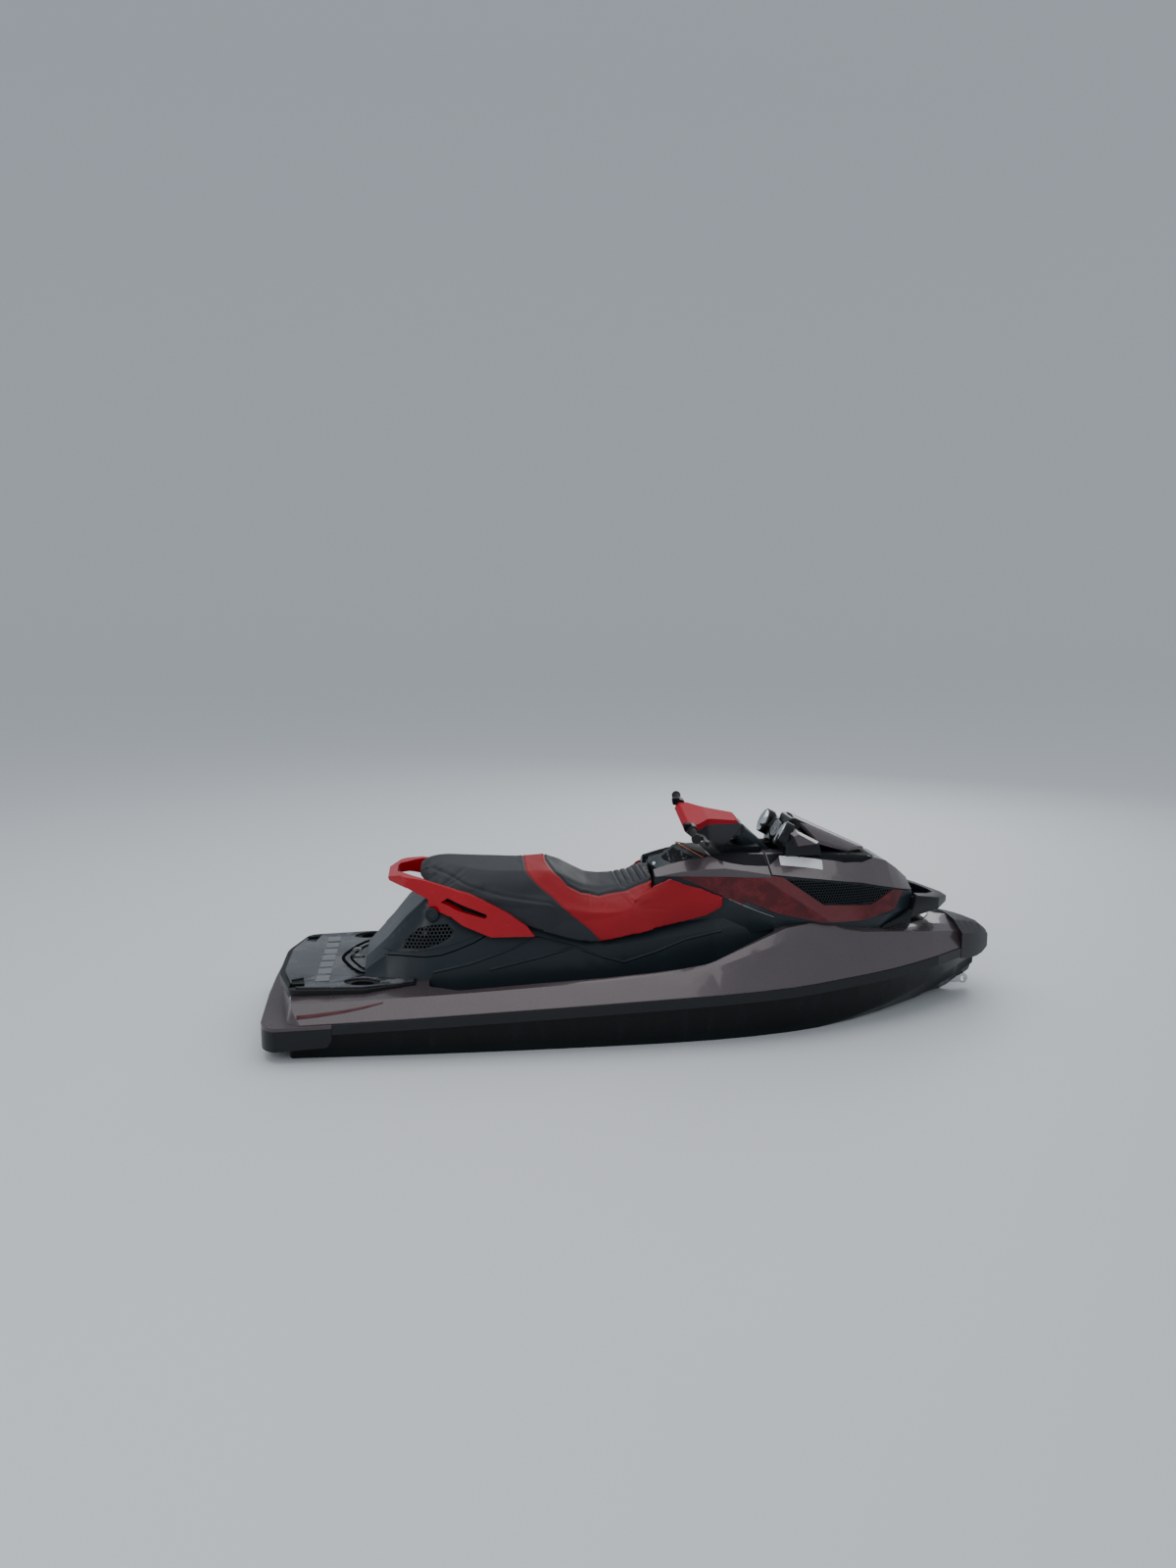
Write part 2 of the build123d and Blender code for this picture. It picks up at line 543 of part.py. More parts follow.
def across(height, wide, deep, r):
    """Rounded rectangle square to the steering axis, at a height along it."""
    return steer_plane.offset(height) * RectangleRounded(wide, deep, r)


neck = loft([across(10, 104, 96, 30), across(100, 108, 88, 30), across(190, 112, 80, 30)])
neck = neck + rod_y(-50, 50, 40, tilt_at.X, tilt_at.Z) + extrude(steer_plane.offset(-24) * Circle(22), 40)
neck -= rod_y(-60, 60, 9, tilt_at.X, tilt_at.Z)

cover_side = [(472, 900, 0), (446, 930, 12), (300, 950, 20), (196, 946, 12), (172, 916, 8), (240, 862, 20),
              (386, 812, 10), (404, 820, 0)]
cover_half = [(480, 66, 0), (300, 110, 60), (235, 205, 20), (168, 205, 20)]
pad_side = [(490, 918, 0), (420, 916, 0), (300, 920, 0), (160, 908, 0), (160, 1000, 0), (490, 1000, 0)]
cover_full = side_prism(cover_side, -260, 260) & plan_prism(both_ways(cover_half), 700, 1100)
cover_full -= rod_y(-54, 54, 46, tilt_at.X, tilt_at.Z)
cheek_side = [(tilt_at.X - 20, tilt_at.Z - 20, 14), (tilt_at.X + 20, tilt_at.Z - 20, 14),
              (tilt_at.X + 20, tilt_at.Z + 20, 14), (tilt_at.X - 70, tilt_at.Z + 40, 0),
              (tilt_at.X - 70, tilt_at.Z - 30, 0)]
hinge_cheeks = twin(side_prism(cheek_side, 54, 64)) + rod_y(-60, 60, 8, tilt_at.X, tilt_at.Z)
bar_tube = rod_y(-BAR_HALF, BAR_HALF, BAR_R, BAR_X, BAR_Z)
bar_pad = (cover_full & side_prism(pad_side, -300, 300)) - bar_tube - hinge_cheeks
bar_cover = (cover_full - side_prism(pad_side, -300, 300)) + hinge_cheeks - bar_tube
grips = twin(rod_y(268, BAR_HALF - 2, GRIP_R, BAR_X, BAR_Z)) - bar_tube
lever_pods = twin(rod_y(208, 262, 25, BAR_X, BAR_Z)) - bar_tube - bar_cover - bar_pad
lever_side = [(BAR_X + 16, BAR_Z - 18, 4), (BAR_X + 74, BAR_Z - 40, 8), (BAR_X + 66, BAR_Z - 58, 8),
              (BAR_X + 4, BAR_Z - 26, 4)]
throttle_lever = side_prism(lever_side, -330, -214) - block(150, BAR_X + 50, -340, -262, 800, 1000)
throttle_lever = throttle_lever - lever_pods - bar_cover - bar_pad
reverse_lever = mirror(throttle_lever, Plane.XZ)

# Jet pump
pump_outer = PUMP_R + PUMP_WALL
pump_housing = rod_x(-1300, -1000, pump_outer, z=PUMP_Z)
pump_housing += block(TUNNEL_FORE - 42, TUNNEL_FORE - 22, -TUNNEL_HALF, TUNNEL_HALF, -196, 0)
pump_housing += block(TUNNEL_FORE - 22, TUNNEL_FORE, -100, 100, -196, 0)
pump_housing -= rod_x(-1400, -900, PUMP_R, z=PUMP_Z)
camber = [ThreePointArc((-1292, -2), (-1246, 0), (-1196, 17)), Line((-1196, 17), (-1194, 22)),
          ThreePointArc((-1194, 22), (-1246, 6), (-1292, 3)), Line((-1292, 3), (-1292, -2))]
vane = Pos(0, 0, PUMP_Z + 20) * extrude(make_face(camber), PUMP_R - 16)
for i in range(VANES):
    pump_housing += vane.rotate(Axis((0, 0, PUMP_Z), (1, 0, 0)), (i + 0.5) * 360 / VANES)
pump_housing += rod_x(-1300, -1190, 28, z=PUMP_Z)

flow = Plane(origin=(-1300, 0, PUMP_Z), x_dir=(0, 1, 0), z_dir=(-1, 0, 0))
taper_run = -1300 - VENTURI_END
venturi = loft([flow * Circle(pump_outer), flow.offset(taper_run) * Circle(41)])
ear = block(-1516, -1440, -16, 16, 68, 78) + block(-1460, -1440, -16, 16, 44, 78)
venturi += Pos(0, 0, PUMP_Z) * (ear + mirror(ear, Plane.XY))
venturi -= loft([flow * Circle(PUMP_R), flow.offset(taper_run) * Circle(35)])
venturi -= Pos(NOZZLE_X, 0, PUMP_Z) * Cylinder(6.4, 200)

tube_at = Plane(origin=(-24, 0, 0), x_dir=(0, 1, 0), z_dir=(-1, 0, 0))
tube_out = loft([tube_at * Circle(57), tube_at.offset(110) * Circle(46)])
tube_in = loft([tube_at.offset(-1) * Circle(50.6), tube_at.offset(111) * Circle(40)])
nozzle = ((Sphere(62) - Sphere(56)) & block(-200, 4, -70, 70, -70, 70)) + tube_out - tube_in
nozzle += Pos(0, 0, 71) * Cylinder(6, 20) + Pos(0, 0, -71) * Cylinder(6, 20)
steering_nozzle = Pos(NOZZLE_X, 0, PUMP_Z) * nozzle

# Columns: height over the shaft, twist from the shaft's line, chord, thickness and sweep along the shaft.
BLADE_ROWS = [
    (18, 32, 88, 9, 0),
    (40, 45, 98, 7, 4),
    (62, 56, 110, 6, 10),
    (PUMP_R + 2, 63, 120, 5, 18),
]


def foil(rise, twist, chord, thick, sweep):
    """Section of a blade, sharp at both edges and cambered."""
    half = chord / 2
    bow = chord * 0.05
    corners = [(-half, 0, 0), (-half * 0.3, bow + thick / 2, 0), (half * 0.5, bow + thick / 2, 0),
               (half, 0, 0), (half * 0.5, bow - thick / 2, 0), (-half * 0.3, bow - thick / 2, 0)]
    return Plane(origin=(-1110 + sweep, 0, PUMP_Z + rise)) * Rot(0, 0, twist) * face_of(corners)


blade = loft([foil(*row) for row in fair(BLADE_ROWS, 15)], ruled=True)
hub_half = [(-1180, 0), (-1180, 20), (-1160, 26), (-1060, 26), (-1012, 15), (-1012, 0)]
hub_face = Plane.XZ * make_face(Polyline(*hub_half, close=True))
impeller = Pos(0, 0, PUMP_Z) * revolve(hub_face, Axis.X)
for i in range(BLADES):
    impeller += blade.rotate(Axis((0, 0, PUMP_Z), (1, 0, 0)), i * 360 / BLADES)
impeller &= rod_x(-1182, -1010, PUMP_R - 5, z=PUMP_Z)
drive_shaft = rod_x(-1010, -396, 14, z=PUMP_Z)

gate_x, _, gate_z = GATE_AT
gate_arm = side_prism([(gate_x + 18, gate_z - 18, 12), (gate_x + 18, gate_z + 18, 12), (-1690, 8, 10),
                       (-1712, -24, 10), (-1690, -40, 10)], 103, 109)
gate_roof = side_prism([(-1637, 4, 0), (-1637, 10, 0), (-1708, 6, 0), (-1716, -66, 0), (-1710, -66, 0),
                        (-1703, 0, 0)], -109, 109)
reverse_gate = twin(gate_arm) + gate_roof - rod_y(-130, 130, 6.4, gate_x, gate_z)
gate_bracket = twin(side_prism([(gate_x - 14, gate_z - 16, 8), (gate_x - 14, gate_z + 16, 8), (-1480, -20, 0),
                                (-1480, -80, 0)], 115, TUNNEL_HALF) + rod_y(100, 116, 6, gate_x, gate_z))

ride_plate = block(-1640, -1002, -TUNNEL_HALF, TUNNEL_HALF, -206, -196)
for y in (-90, -45, 45, 90):
    ride_plate += block(-1600, -1040, y - 3, y + 3, -214, -206)
intake_grate = block(-945, -925, -72, 72, -226, -206) + block(-565, -545, -72, 72, -232, -214)
for y in (-48, -16, 16, 48):
    intake_grate += block(-930, -560, y - 4, y + 4, -226, -214)
intake_grate -= hull

engine = block(-390, 270, -175, 175, -135, 330)

# Boarding step that folds down from the transom
step_x, _, step_z = STEP_AT
step_arm = side_prism([(step_x - 9, step_z - 9, 8), (step_x + 9, step_z - 9, 8), (step_x + 6, STEP_TOP, 4),
                       (step_x - 6, STEP_TOP, 4)], 150, 158)
boarding_step = twin(step_arm) + rod_y(-158, 158, 9, step_x, STEP_TOP) - rod_y(-200, 200, 5, step_x, step_z)
step_mount = side_prism([(step_x - 10, step_z - 10, 8), (step_x - 10, step_z + 10, 8),
                         (-1700, step_z + 40, 0), (-1700, step_z - 10, 0)], 164, 172)
step_brackets = twin(step_mount + rod_y(148, 166, 4.7, step_x, step_z)) - full_hull

# Eyes for lines and straps
bow_eye = rod_y(-8, 8, BOW_EYE_R + 14, *BOW_EYE_AT) + block(1560, 1650, -8, 8, 30, 66)
bow_eye = bow_eye - rod_y(-20, 20, BOW_EYE_R, *BOW_EYE_AT) - full_hull
stern_eye = block(-1730, -1660, 294, 306, -10, 26) + rod_y(294, 306, STERN_EYE_R + 11, *STERN_EYE_AT)
stern_eyes = twin(stern_eye - rod_y(280, 320, STERN_EYE_R, *STERN_EYE_AT)) - full_hull
tow_eye = block(-1420, -1370, -7, 7, 276, 300) + rod_y(-7, 7, TOW_EYE_R + 12, -1395, 306)
tow_eye = tow_eye - rod_y(-20, 20, TOW_EYE_R, -1395, 306) - platform - full_saddle


def steered(solid):
    return solid.rotate(steer_axis, -STEER_REST)


NODES = {
    "hull": hull,
    "deck": deck,
    "rail": rail,
    "bow_bumper": bow_bumper,
    "stern_bumper": stern_bumper,
    "sponsons": sponsons,
    "saddle": saddle,
    "vent_panels": vent_panels,
    "footwell_mats": footwell_mats,
    "platform": platform,
    "platform_pad": platform_pad,
    "front_body": front_body,
    "cowl": cowl,
    "neck_collar": neck_collar,
    "side_fairings": side_fairings,
    "side_meshes": side_meshes,
    "bow_trim": bow_trim,
    "glove_tub": glove_tub,
    "grab_handle": grab_handle,
    "pump_housing": pump_housing,
    "venturi": venturi,
    "ride_plate": ride_plate,
    "intake_grate": intake_grate,
    "engine": engine,
    "bow_eye": bow_eye,
    "stern_eyes": stern_eyes,
    "tow_eye": tow_eye,
    "gate_bracket": gate_bracket,
    "step_brackets": step_brackets,
    "hood": hood,
    "gauge_pod": gauge_pod,
    "gauge_face": gauge_face,
    "mirror_housings": mirror_housings,
    "mirror_glass": mirror_glass,
    "mirror_fins": mirror_fins,
    "deflector": deflector,
    "glovebox_lid": glovebox_lid,
    "seat_pan": seat_pan,
    "seat_front": seat_front,
    "seat_rear": seat_rear,
    "steering_neck": steered(neck),
    "bar_cover": steered(bar_cover),
    "bar_pad": steered(bar_pad),
    "bar_tube": steered(bar_tube),
    "grips": steered(grips),
    "lever_pods": steered(lever_pods),
    "throttle_lever": steered(throttle_lever),
    "reverse_lever": steered(reverse_lever),
    "steering_nozzle": steering_nozzle.rotate(Axis((NOZZLE_X, 0, PUMP_Z), (0, 0, 1)), STEER_REST),
    "impeller": impeller,
    "drive_shaft": drive_shaft,
    "reverse_gate": reverse_gate,
    "boarding_step": boarding_step,
}
for name, solid in NODES.items():
    export_step(solid, f"parts/{name}.step")
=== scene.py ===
import json
import math
import bpy
import numpy as np
from mathutils import Matrix, Vector


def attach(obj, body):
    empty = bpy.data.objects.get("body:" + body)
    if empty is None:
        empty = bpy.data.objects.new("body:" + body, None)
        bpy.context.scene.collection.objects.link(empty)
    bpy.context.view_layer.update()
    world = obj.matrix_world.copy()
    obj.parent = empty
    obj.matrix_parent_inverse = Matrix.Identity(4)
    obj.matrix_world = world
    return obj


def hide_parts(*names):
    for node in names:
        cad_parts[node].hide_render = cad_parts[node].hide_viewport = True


bl_info = {
    "name": "Personal Watercraft",
    "version": (1, 0, 0),
    "blender": (4, 5, 0),
    "location": "View3D > Sidebar > Watercraft",
    "description": "Dresses the packed watercraft with panels, upholstery, grips and finishes",
    "category": "Object",
}

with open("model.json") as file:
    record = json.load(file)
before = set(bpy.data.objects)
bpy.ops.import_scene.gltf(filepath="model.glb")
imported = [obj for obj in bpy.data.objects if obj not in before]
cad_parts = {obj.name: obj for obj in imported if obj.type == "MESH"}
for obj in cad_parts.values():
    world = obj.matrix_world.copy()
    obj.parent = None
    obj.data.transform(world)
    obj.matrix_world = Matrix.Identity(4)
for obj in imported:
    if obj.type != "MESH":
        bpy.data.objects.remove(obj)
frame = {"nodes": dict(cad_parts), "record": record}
NODES = frame["nodes"]
BODY_OF = {node: body for body, members in frame["record"]["behaviour"]["bodies"].items() for node in members}
SLOTS = {part["node"]: part["material_slot"] for part in frame["record"]["subparts"]}
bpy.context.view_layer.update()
SIDES = ((-1, "starboard"), (1, "port"))
MERGE = 1e-5                    # points nearer than this are one
FLAT = math.radians(0.6)        # faces that meet at less than this are one


# Finishes

class Signal:
    """The output of a shader node, which adds and multiplies like a number."""

    def __init__(self, finish, socket):
        self.finish = finish
        self.socket = socket

    def math(self, operation, *others):
        return self.finish.node("ShaderNodeMath", {"operation": operation}, [self, *others])

    def __add__(self, other):
        return self.math("ADD", other)

    __radd__ = __add__

    def __mul__(self, other):
        return self.math("MULTIPLY", other)

    def __sub__(self, other):
        return self.math("SUBTRACT", other)

    def __rsub__(self, other):
        return (self * -1) + other

    def __abs__(self):
        return self.math("ABSOLUTE")

    def most(self, other):
        return self.math("MAXIMUM", other)

    def step(self, low, high):
        """0 below low and 1 above high, or the other way round when low is the larger."""
        return self.finish.node("ShaderNodeMapRange", {"interpolation_type": "SMOOTHSTEP"},
                                {"Value": self, "From Min": low, "From Max": high})


class Finish:
    """A material on one Principled shader. Uniform values are its sockets' own."""

    def __init__(self, name, color, roughness, **values):
        self.material = bpy.data.materials.new(name)
        self.material.use_nodes = True
        self.tree = self.material.node_tree
        self.shader = self.tree.nodes["Principled BSDF"]
        self.shader.inputs["Base Color"].default_value = (*color, 1)
        self.shader.inputs["Roughness"].default_value = roughness
        for socket, value in values.items():
            self.shader.inputs[socket.replace("_", " ")].default_value = value
        self.place = self.node("ShaderNodeTexCoord", out="Object")

    def node(self, kind, settings=None, inputs=(), out=0):
        made = self.tree.nodes.new(kind)
        for key, value in (settings or {}).items():
            setattr(made, key, value)
        pairs = inputs.items() if isinstance(inputs, dict) else enumerate(inputs)
        for key, value in pairs:
            if isinstance(value, Signal):
                self.tree.links.new(value.socket, made.inputs[key])
            elif made.inputs[key].type == "RGBA":
                made.inputs[key].default_value = (*value, 1)
            else:
                made.inputs[key].default_value = value
        return Signal(self, made.outputs[out])

    def stretched(self, x, y, z):
        return self.node("ShaderNodeMapping", None, {"Vector": self.place, "Scale": (x, y, z)})

    def noise(self, scale, detail=3, where=None, distortion=0.0):
        return self.node("ShaderNodeTexNoise", None, {"Vector": where or self.place, "Scale": scale,
                                                      "Detail": detail, "Distortion": distortion})

    def cells(self, scale):
        return self.node("ShaderNodeTexVoronoi", None, {"Vector": self.place, "Scale": scale}, out="Distance")

    def axis(self, letter):
        return self.node("ShaderNodeSeparateXYZ", None, [self.place], out=letter)

    def attribute(self, name):
        return self.node("ShaderNodeAttribute", {"attribute_name": name}, out="Fac")

    def blend(self, mask, first, second):
        """The first colour where the mask is 0 and the second where it is 1."""
        return self.node("ShaderNodeMix", {"data_type": "RGBA"}, {0: mask, 6: first, 7: second}, out=2)

    def feed(self, socket, signal):
        self.tree.links.new(signal.socket, self.shader.inputs[socket])

    def bump(self, height, strength, depth):
        relief = {"Height": height, "Strength": strength, "Distance": depth}
        self.feed("Normal", self.node("ShaderNodeBump", None, relief))


def shade(color, factor):
    return tuple(min(1.0, c * factor) for c in color)


def gelcoat(name, color, flake):
    """Clear coated paint with metal flake, gentle ripple and a soft mottle."""
    finish = Finish(name, color, 0.3, Metallic=0.35, Coat_Weight=0.55, Coat_Roughness=0.05)
    sparkle = finish.cells(1400).step(0.5, 0.1)
    mottle = finish.noise(2.2, 4)
    tone = finish.blend(mottle, shade(color, 0.84), shade(color, 1.14))
    finish.feed("Base Color", finish.blend(sparkle * 0.5, tone, shade(color, flake)))
    finish.feed("Roughness", finish.noise(9, 5) * 0.16 + 0.2)
    finish.bump(finish.noise(26, 2), 0.05, 0.002)
    return finish


def hull_gelcoat(name, color):
    """Black gelcoat that is wet, streaked and filmed just above the water."""
    finish = Finish(name, color, 0.12, Coat_Weight=0.05, Coat_Roughness=0.05, Specular_IOR_Level=0.16)
    height = finish.axis("Z")
    wet = (height + finish.noise(6, 5) * 0.05).step(0.075, 0.035)
    streaks = finish.noise(16, 6, finish.stretched(1, 1, 0.12)).step(0.5, 0.75)
    film = finish.blend(streaks * 0.22 * (1 - wet), color, (0.022, 0.027, 0.032))
    finish.feed("Base Color", finish.blend(wet * 0.6, film, (0.006, 0.012, 0.012)))
    finish.feed("Roughness", 0.2 - wet * 0.12 + streaks * 0.12)
    finish.bump(finish.noise(12, 3), 0.05, 0.003)
    return finish


def moulding(name, color, roughness, grain=900, relief=0.12, worn=1.5, gloss=0.3):
    """Moulded plastic with a fine grain, handling marks and slightly uneven colour."""
    finish = Finish(name, color, roughness, Specular_IOR_Level=gloss)
    patches = finish.noise(5, 5)
    scuffs = finish.noise(40, 6, finish.stretched(0.25, 1, 1)).step(0.58, 0.8)
    tone = finish.blend(patches, shade(color, 0.86), shade(color, 1.16))
    finish.feed("Base Color", finish.blend(scuffs * 0.4, tone, shade(color, worn)))
    finish.feed("Roughness", patches * 0.14 + (roughness - 0.07) + scuffs * 0.08)
    finish.bump(finish.cells(grain), relief, 0.0004)
    return finish


def bumper_rubber(name, color, paint):
    """The stern bumper, black rubber with its ledge painted like the deck."""
    finish = Finish(name, color, 0.36, Specular_IOR_Level=0.3)
    ledge_height = 0.206 + finish.axis("X") * 0.035
    ledge = (ledge_height - finish.axis("Z")).step(0.001, -0.001)
    patches = finish.noise(5, 5)
    rubber = finish.blend(patches, shade(color, 0.8), shade(color, 1.3))
    finish.feed("Base Color", finish.blend(ledge, rubber, paint))
    finish.feed("Roughness", patches * 0.14 + 0.3 - ledge * 0.08)
    finish.bump(finish.cells(400), 0.08, 0.0004)
    return finish


def metal(name, color, roughness, cast):
    finish = Finish(name, color, roughness, Metallic=1.0)
    if cast:
        skin = finish.noise(420, 6)
        finish.bump(skin, 0.35, 0.0008)
    else:
        skin = finish.noise(90, 4, finish.stretched(1, 12, 12))
        finish.bump(skin, 0.06, 0.0003)
    finish.feed("Roughness", skin * 0.25 + (roughness - 0.1))
    finish.feed("Base Color", finish.blend(finish.noise(14, 4), shade(color, 0.78), color))
    return finish


def smoked_red(name, color):
    """Deep red under clear coat, with a smoky marbled print inside and a painted highlight on the upward facet
    by the mesh window.
    """
    finish = Finish(name, color, 0.16, Coat_Weight=0.3, Coat_Roughness=0.03, Specular_IOR_Level=0.3)
    warp = finish.noise(11, 3, distortion=1.2)
    swirl = finish.noise(26, 4, distortion=1.8)
    smoke = abs(swirl - 0.5).step(0.10, 0.01) * warp.step(0.45, 0.65)
    body = finish.blend(warp.step(0.3, 0.75), shade(color, 0.55), color)
    marbled = finish.blend(smoke * 0.3, body, (0.19, 0.020, 0.028))
    # The painted highlight lies on the upward facet, 50 mm wide below the window's lower edge, which passes
    # (0.612, 0.690) in the side view
    below_window = (finish.axis("X") - 0.612) * -0.540 + (finish.axis("Z") - 0.690) * -0.842
    facet = below_window.step(0.056, 0.050) * finish.axis("X").step(1.02, 0.9)
    # The paler red blended in on the facet is painted highlight, where the facet faces up to the light
    finish.feed("Base Color", finish.blend(facet * 0.6, marbled, (0.14, 0.030, 0.036)))
    finish.feed("Roughness", finish.noise(22, 3) * 0.1 + 0.1)
    finish.bump(finish.noise(30, 2), 0.04, 0.002)
    return finish


def vinyl(name):
    """Marine vinyl, black with a red band set by the panel attribute, pulled at its pleats."""
    finish = Finish(name, (0.03, 0.032, 0.038), 0.45, Specular_IOR_Level=0.28)
    red = finish.attribute("red_band").step(0.0, 0.0012)
    grain = finish.cells(520)
    wear = finish.noise(7, 5)
    black = finish.blend(wear, (0.012, 0.014, 0.018), (0.028, 0.031, 0.037))
    crimson = finish.blend(wear, (0.25, 0.0035, 0.009), (0.34, 0.006, 0.014))
    finish.feed("Base Color", finish.blend(red, black, crimson))
    finish.feed("Roughness", wear * 0.2 + 0.32 + grain * 0.08)
    finish.bump(grain + finish.noise(60, 3) * 0.8, 0.22, 0.0009)
    return finish


def deck_foam(name, tone=1.0, soaked=0.46, shine=0.36, gloss=0.5):
    """Grey-black deck matting, pebbled and wet in patches."""
    finish = Finish(name, (0.028, 0.03, 0.033), 0.6, Specular_IOR_Level=gloss)
    wet = finish.noise(9, 6).step(soaked, soaked + 0.14)
    drops = finish.cells(120).step(0.26, 0.1) * finish.noise(14, 3).step(0.45, 0.6)
    dry, damp = shade((0.052, 0.055, 0.06), tone), shade((0.02, 0.022, 0.025), tone)
    finish.feed("Base Color", finish.blend(wet, dry, damp))
    finish.feed("Roughness", (0.62 - wet * shine - drops * 0.2).most(0.08))
    finish.bump(finish.cells(260) * (1 - wet * 0.5) + drops * 1.4, 0.3, 0.0012)
    return finish


def glass_black(name, color, roughness=0.06):
    finish = Finish(name, color, roughness, Coat_Weight=1.0, Coat_Roughness=0.02)
    finish.feed("Base Color", finish.blend(finish.noise(8, 3), shade(color, 0.8), shade(color, 1.2)))
    finish.feed("Roughness", finish.noise(30, 4) * 0.08 + roughness)
    return finish


def mirror_silver(name):
    finish = Finish(name, (0.56, 0.60, 0.60), 0.03, Metallic=1.0)
    finish.feed("Roughness", finish.noise(45, 5) * 0.07)
    return finish


def blank_plate(name):
    """White reflective sheet with no lettering, a little dirty in spots."""
    finish = Finish(name, (0.74, 0.76, 0.78), 0.35, Coat_Weight=0.4)
    dirt = finish.noise(60, 6).step(0.5, 0.8)
    finish.feed("Base Color", finish.blend(dirt * 0.4, (0.74, 0.76, 0.78), (0.45, 0.46, 0.46)))
    finish.bump(finish.cells(900), 0.15, 0.0003)
    return finish


PLUM = (0.076, 0.060, 0.066)
CHARCOAL = (0.015, 0.023, 0.029)
BLACK = (0.004, 0.005, 0.006)


def make_finishes(look):
    return {
        "deck_plum": gelcoat("plum metallic gelcoat", look.deck_color, 2.6),
        "hull_black": hull_gelcoat("black hull gelcoat", BLACK),
        "charcoal": moulding("satin charcoal moulding", look.side_color, 0.34, 700, 0.08),
        "black_plastic": moulding("black textured plastic", BLACK, 0.42),
        "gloss_black": glass_black("gloss black moulding", (0.008, 0.008, 0.01)),
        "shroud_black": moulding("polished black shroud", (0.006, 0.007, 0.009), 0.28, 900, 0.04, gloss=0.35),
        "matt_black": moulding("matt black trim", (0.005, 0.006, 0.008), 0.62, 700, 0.08, gloss=0.1),
        "rail_rubber": moulding("rail rubber", (0.011, 0.012, 0.015), 0.5, 300, 0.1, 2.4),
        "bumper_black": bumper_rubber("stern bumper rubber", (0.006, 0.007, 0.009), look.deck_color),
        "bumper_grey": moulding("bow bumper rubber", (0.024, 0.023, 0.027), 0.42, 300, 0.08, 2.0),
        "mesh_black": moulding("mesh plastic", (0.014, 0.018, 0.022), 0.45),
        # Near-black that is painted shade behind the grilles and under the vent covers' edges, and the real
        # colour of the platform's trims
        "shade_and_trim_black": moulding("painted shade black and black trim", (0.0015, 0.0016, 0.002), 0.8, gloss=0.05),
        "fairing_red": smoked_red("smoked red fairing", look.fairing_color),
        "handle_red": moulding("red handle moulding", look.handle_color, 0.24, 1200, 0.03, 1.25, 0.3),
        "pad_red": moulding("red bar pad", (0.36, 0.012, 0.024), 0.6, 600, 0.25, 1.2, 0.1),
        "cover_grey": moulding("grey bar cover", (0.036, 0.036, 0.042), 0.32, 700, 0.08),
        "peak_maroon": moulding("dark maroon peak", (0.022, 0.009, 0.012), 0.5, 700, 0.05, gloss=0.08),
        "seat_vinyl": vinyl("marine vinyl"),
        "seat_pan": moulding("seat base moulding", (0.014, 0.016, 0.018), 0.5),
        "mat": deck_foam("deck matting"),
        "grip": moulding("grip rubber", (0.012, 0.012, 0.013), 0.62, 500, 0.3),
        "steel": metal("polished stainless", (0.62, 0.63, 0.64), 0.24, False),
        "pump_alloy": metal("cast pump alloy", (0.47, 0.48, 0.49), 0.42, True),
        "engine_block": metal("engine casting", (0.2, 0.21, 0.22), 0.5, True),
        "gauge": glass_black("gauge glass", (0.012, 0.014, 0.018), 0.04),
        "mirror": mirror_silver("mirror silver"),
        "plate": blank_plate("blank plate"),
        # The pad's tone of 1.9 lightens the matting partly for its own grey and partly as a painted reflection
        # of the pale sky on its wet top
        "wet_pad": deck_foam("wet platform pad", 1.9, 0.38, 0.5, 0.8),
        "pad_block": moulding("raised pad blocks", (0.14, 0.15, 0.16), 0.3, 300, 0.15, gloss=0.6),
        "groove_red": moulding("groove paint", (0.075, 0.014, 0.020), 0.3),
        # Pale metal for the painted highlight along the fairing's lower edge
        "painted_edge_highlight": metal("painted edge highlight line", (0.40, 0.39, 0.38), 0.3, False),
        "copper": metal("copper line", (0.55, 0.22, 0.12), 0.3, False),
        "display": glass_black("blank display", (0.10, 0.115, 0.10), 0.15),
    }


FINISHES = {}


# Modelling helpers

def only(obj):
    """Makes obj the one selected and active object, in object mode."""
    if bpy.context.object and bpy.context.object.mode != "OBJECT":
        bpy.ops.object.mode_set(mode="OBJECT")
    bpy.ops.object.select_all(action="DESELECT")
    obj.select_set(True)
    bpy.context.view_layer.objects.active = obj


def edit(obj):
    only(obj)
    bpy.ops.object.mode_set(mode="EDIT")


def edit_all(obj):
    """Enters edit mode with everything selected."""
    edit(obj)
    bpy.ops.mesh.select_all(action="SELECT")


def done():
    bpy.ops.object.mode_set(mode="OBJECT")


def settle():
    """Puts the selected piece's place, turn and size into its mesh."""
    bpy.ops.object.transform_apply(location=True, rotation=True, scale=True)


def smooth(obj, angle):
    """Shades a piece smooth but for edges sharper than an angle in degrees."""
    only(obj)
    bpy.ops.object.shade_smooth_by_angle(angle=math.radians(angle))


def added(operator, **settings):
    """The piece that an add operator makes, with its place in its mesh."""
    bpy.ops.object.select_all(action="DESELECT")
    operator(**settings)
    settle()
    return bpy.context.object


def pick(obj, chosen):
    """Enters edit mode with only the chosen faces selected."""
    only(obj)
    for part in (*obj.data.vertices, *obj.data.edges):
        part.select = False
    obj.data.polygons.foreach_set("select", chosen)
    bpy.context.tool_settings.mesh_select_mode = (False, False, True)
    edit(obj)


def modify(obj, kind, **settings):
    """Adds a modifier, applies it and leaves obj the active object."""
    only(obj)
    made = obj.modifiers.new(kind.lower(), kind)
    for key, value in settings.items():
        setattr(made, key, value)
    bpy.ops.object.modifier_apply(modifier=made.name)


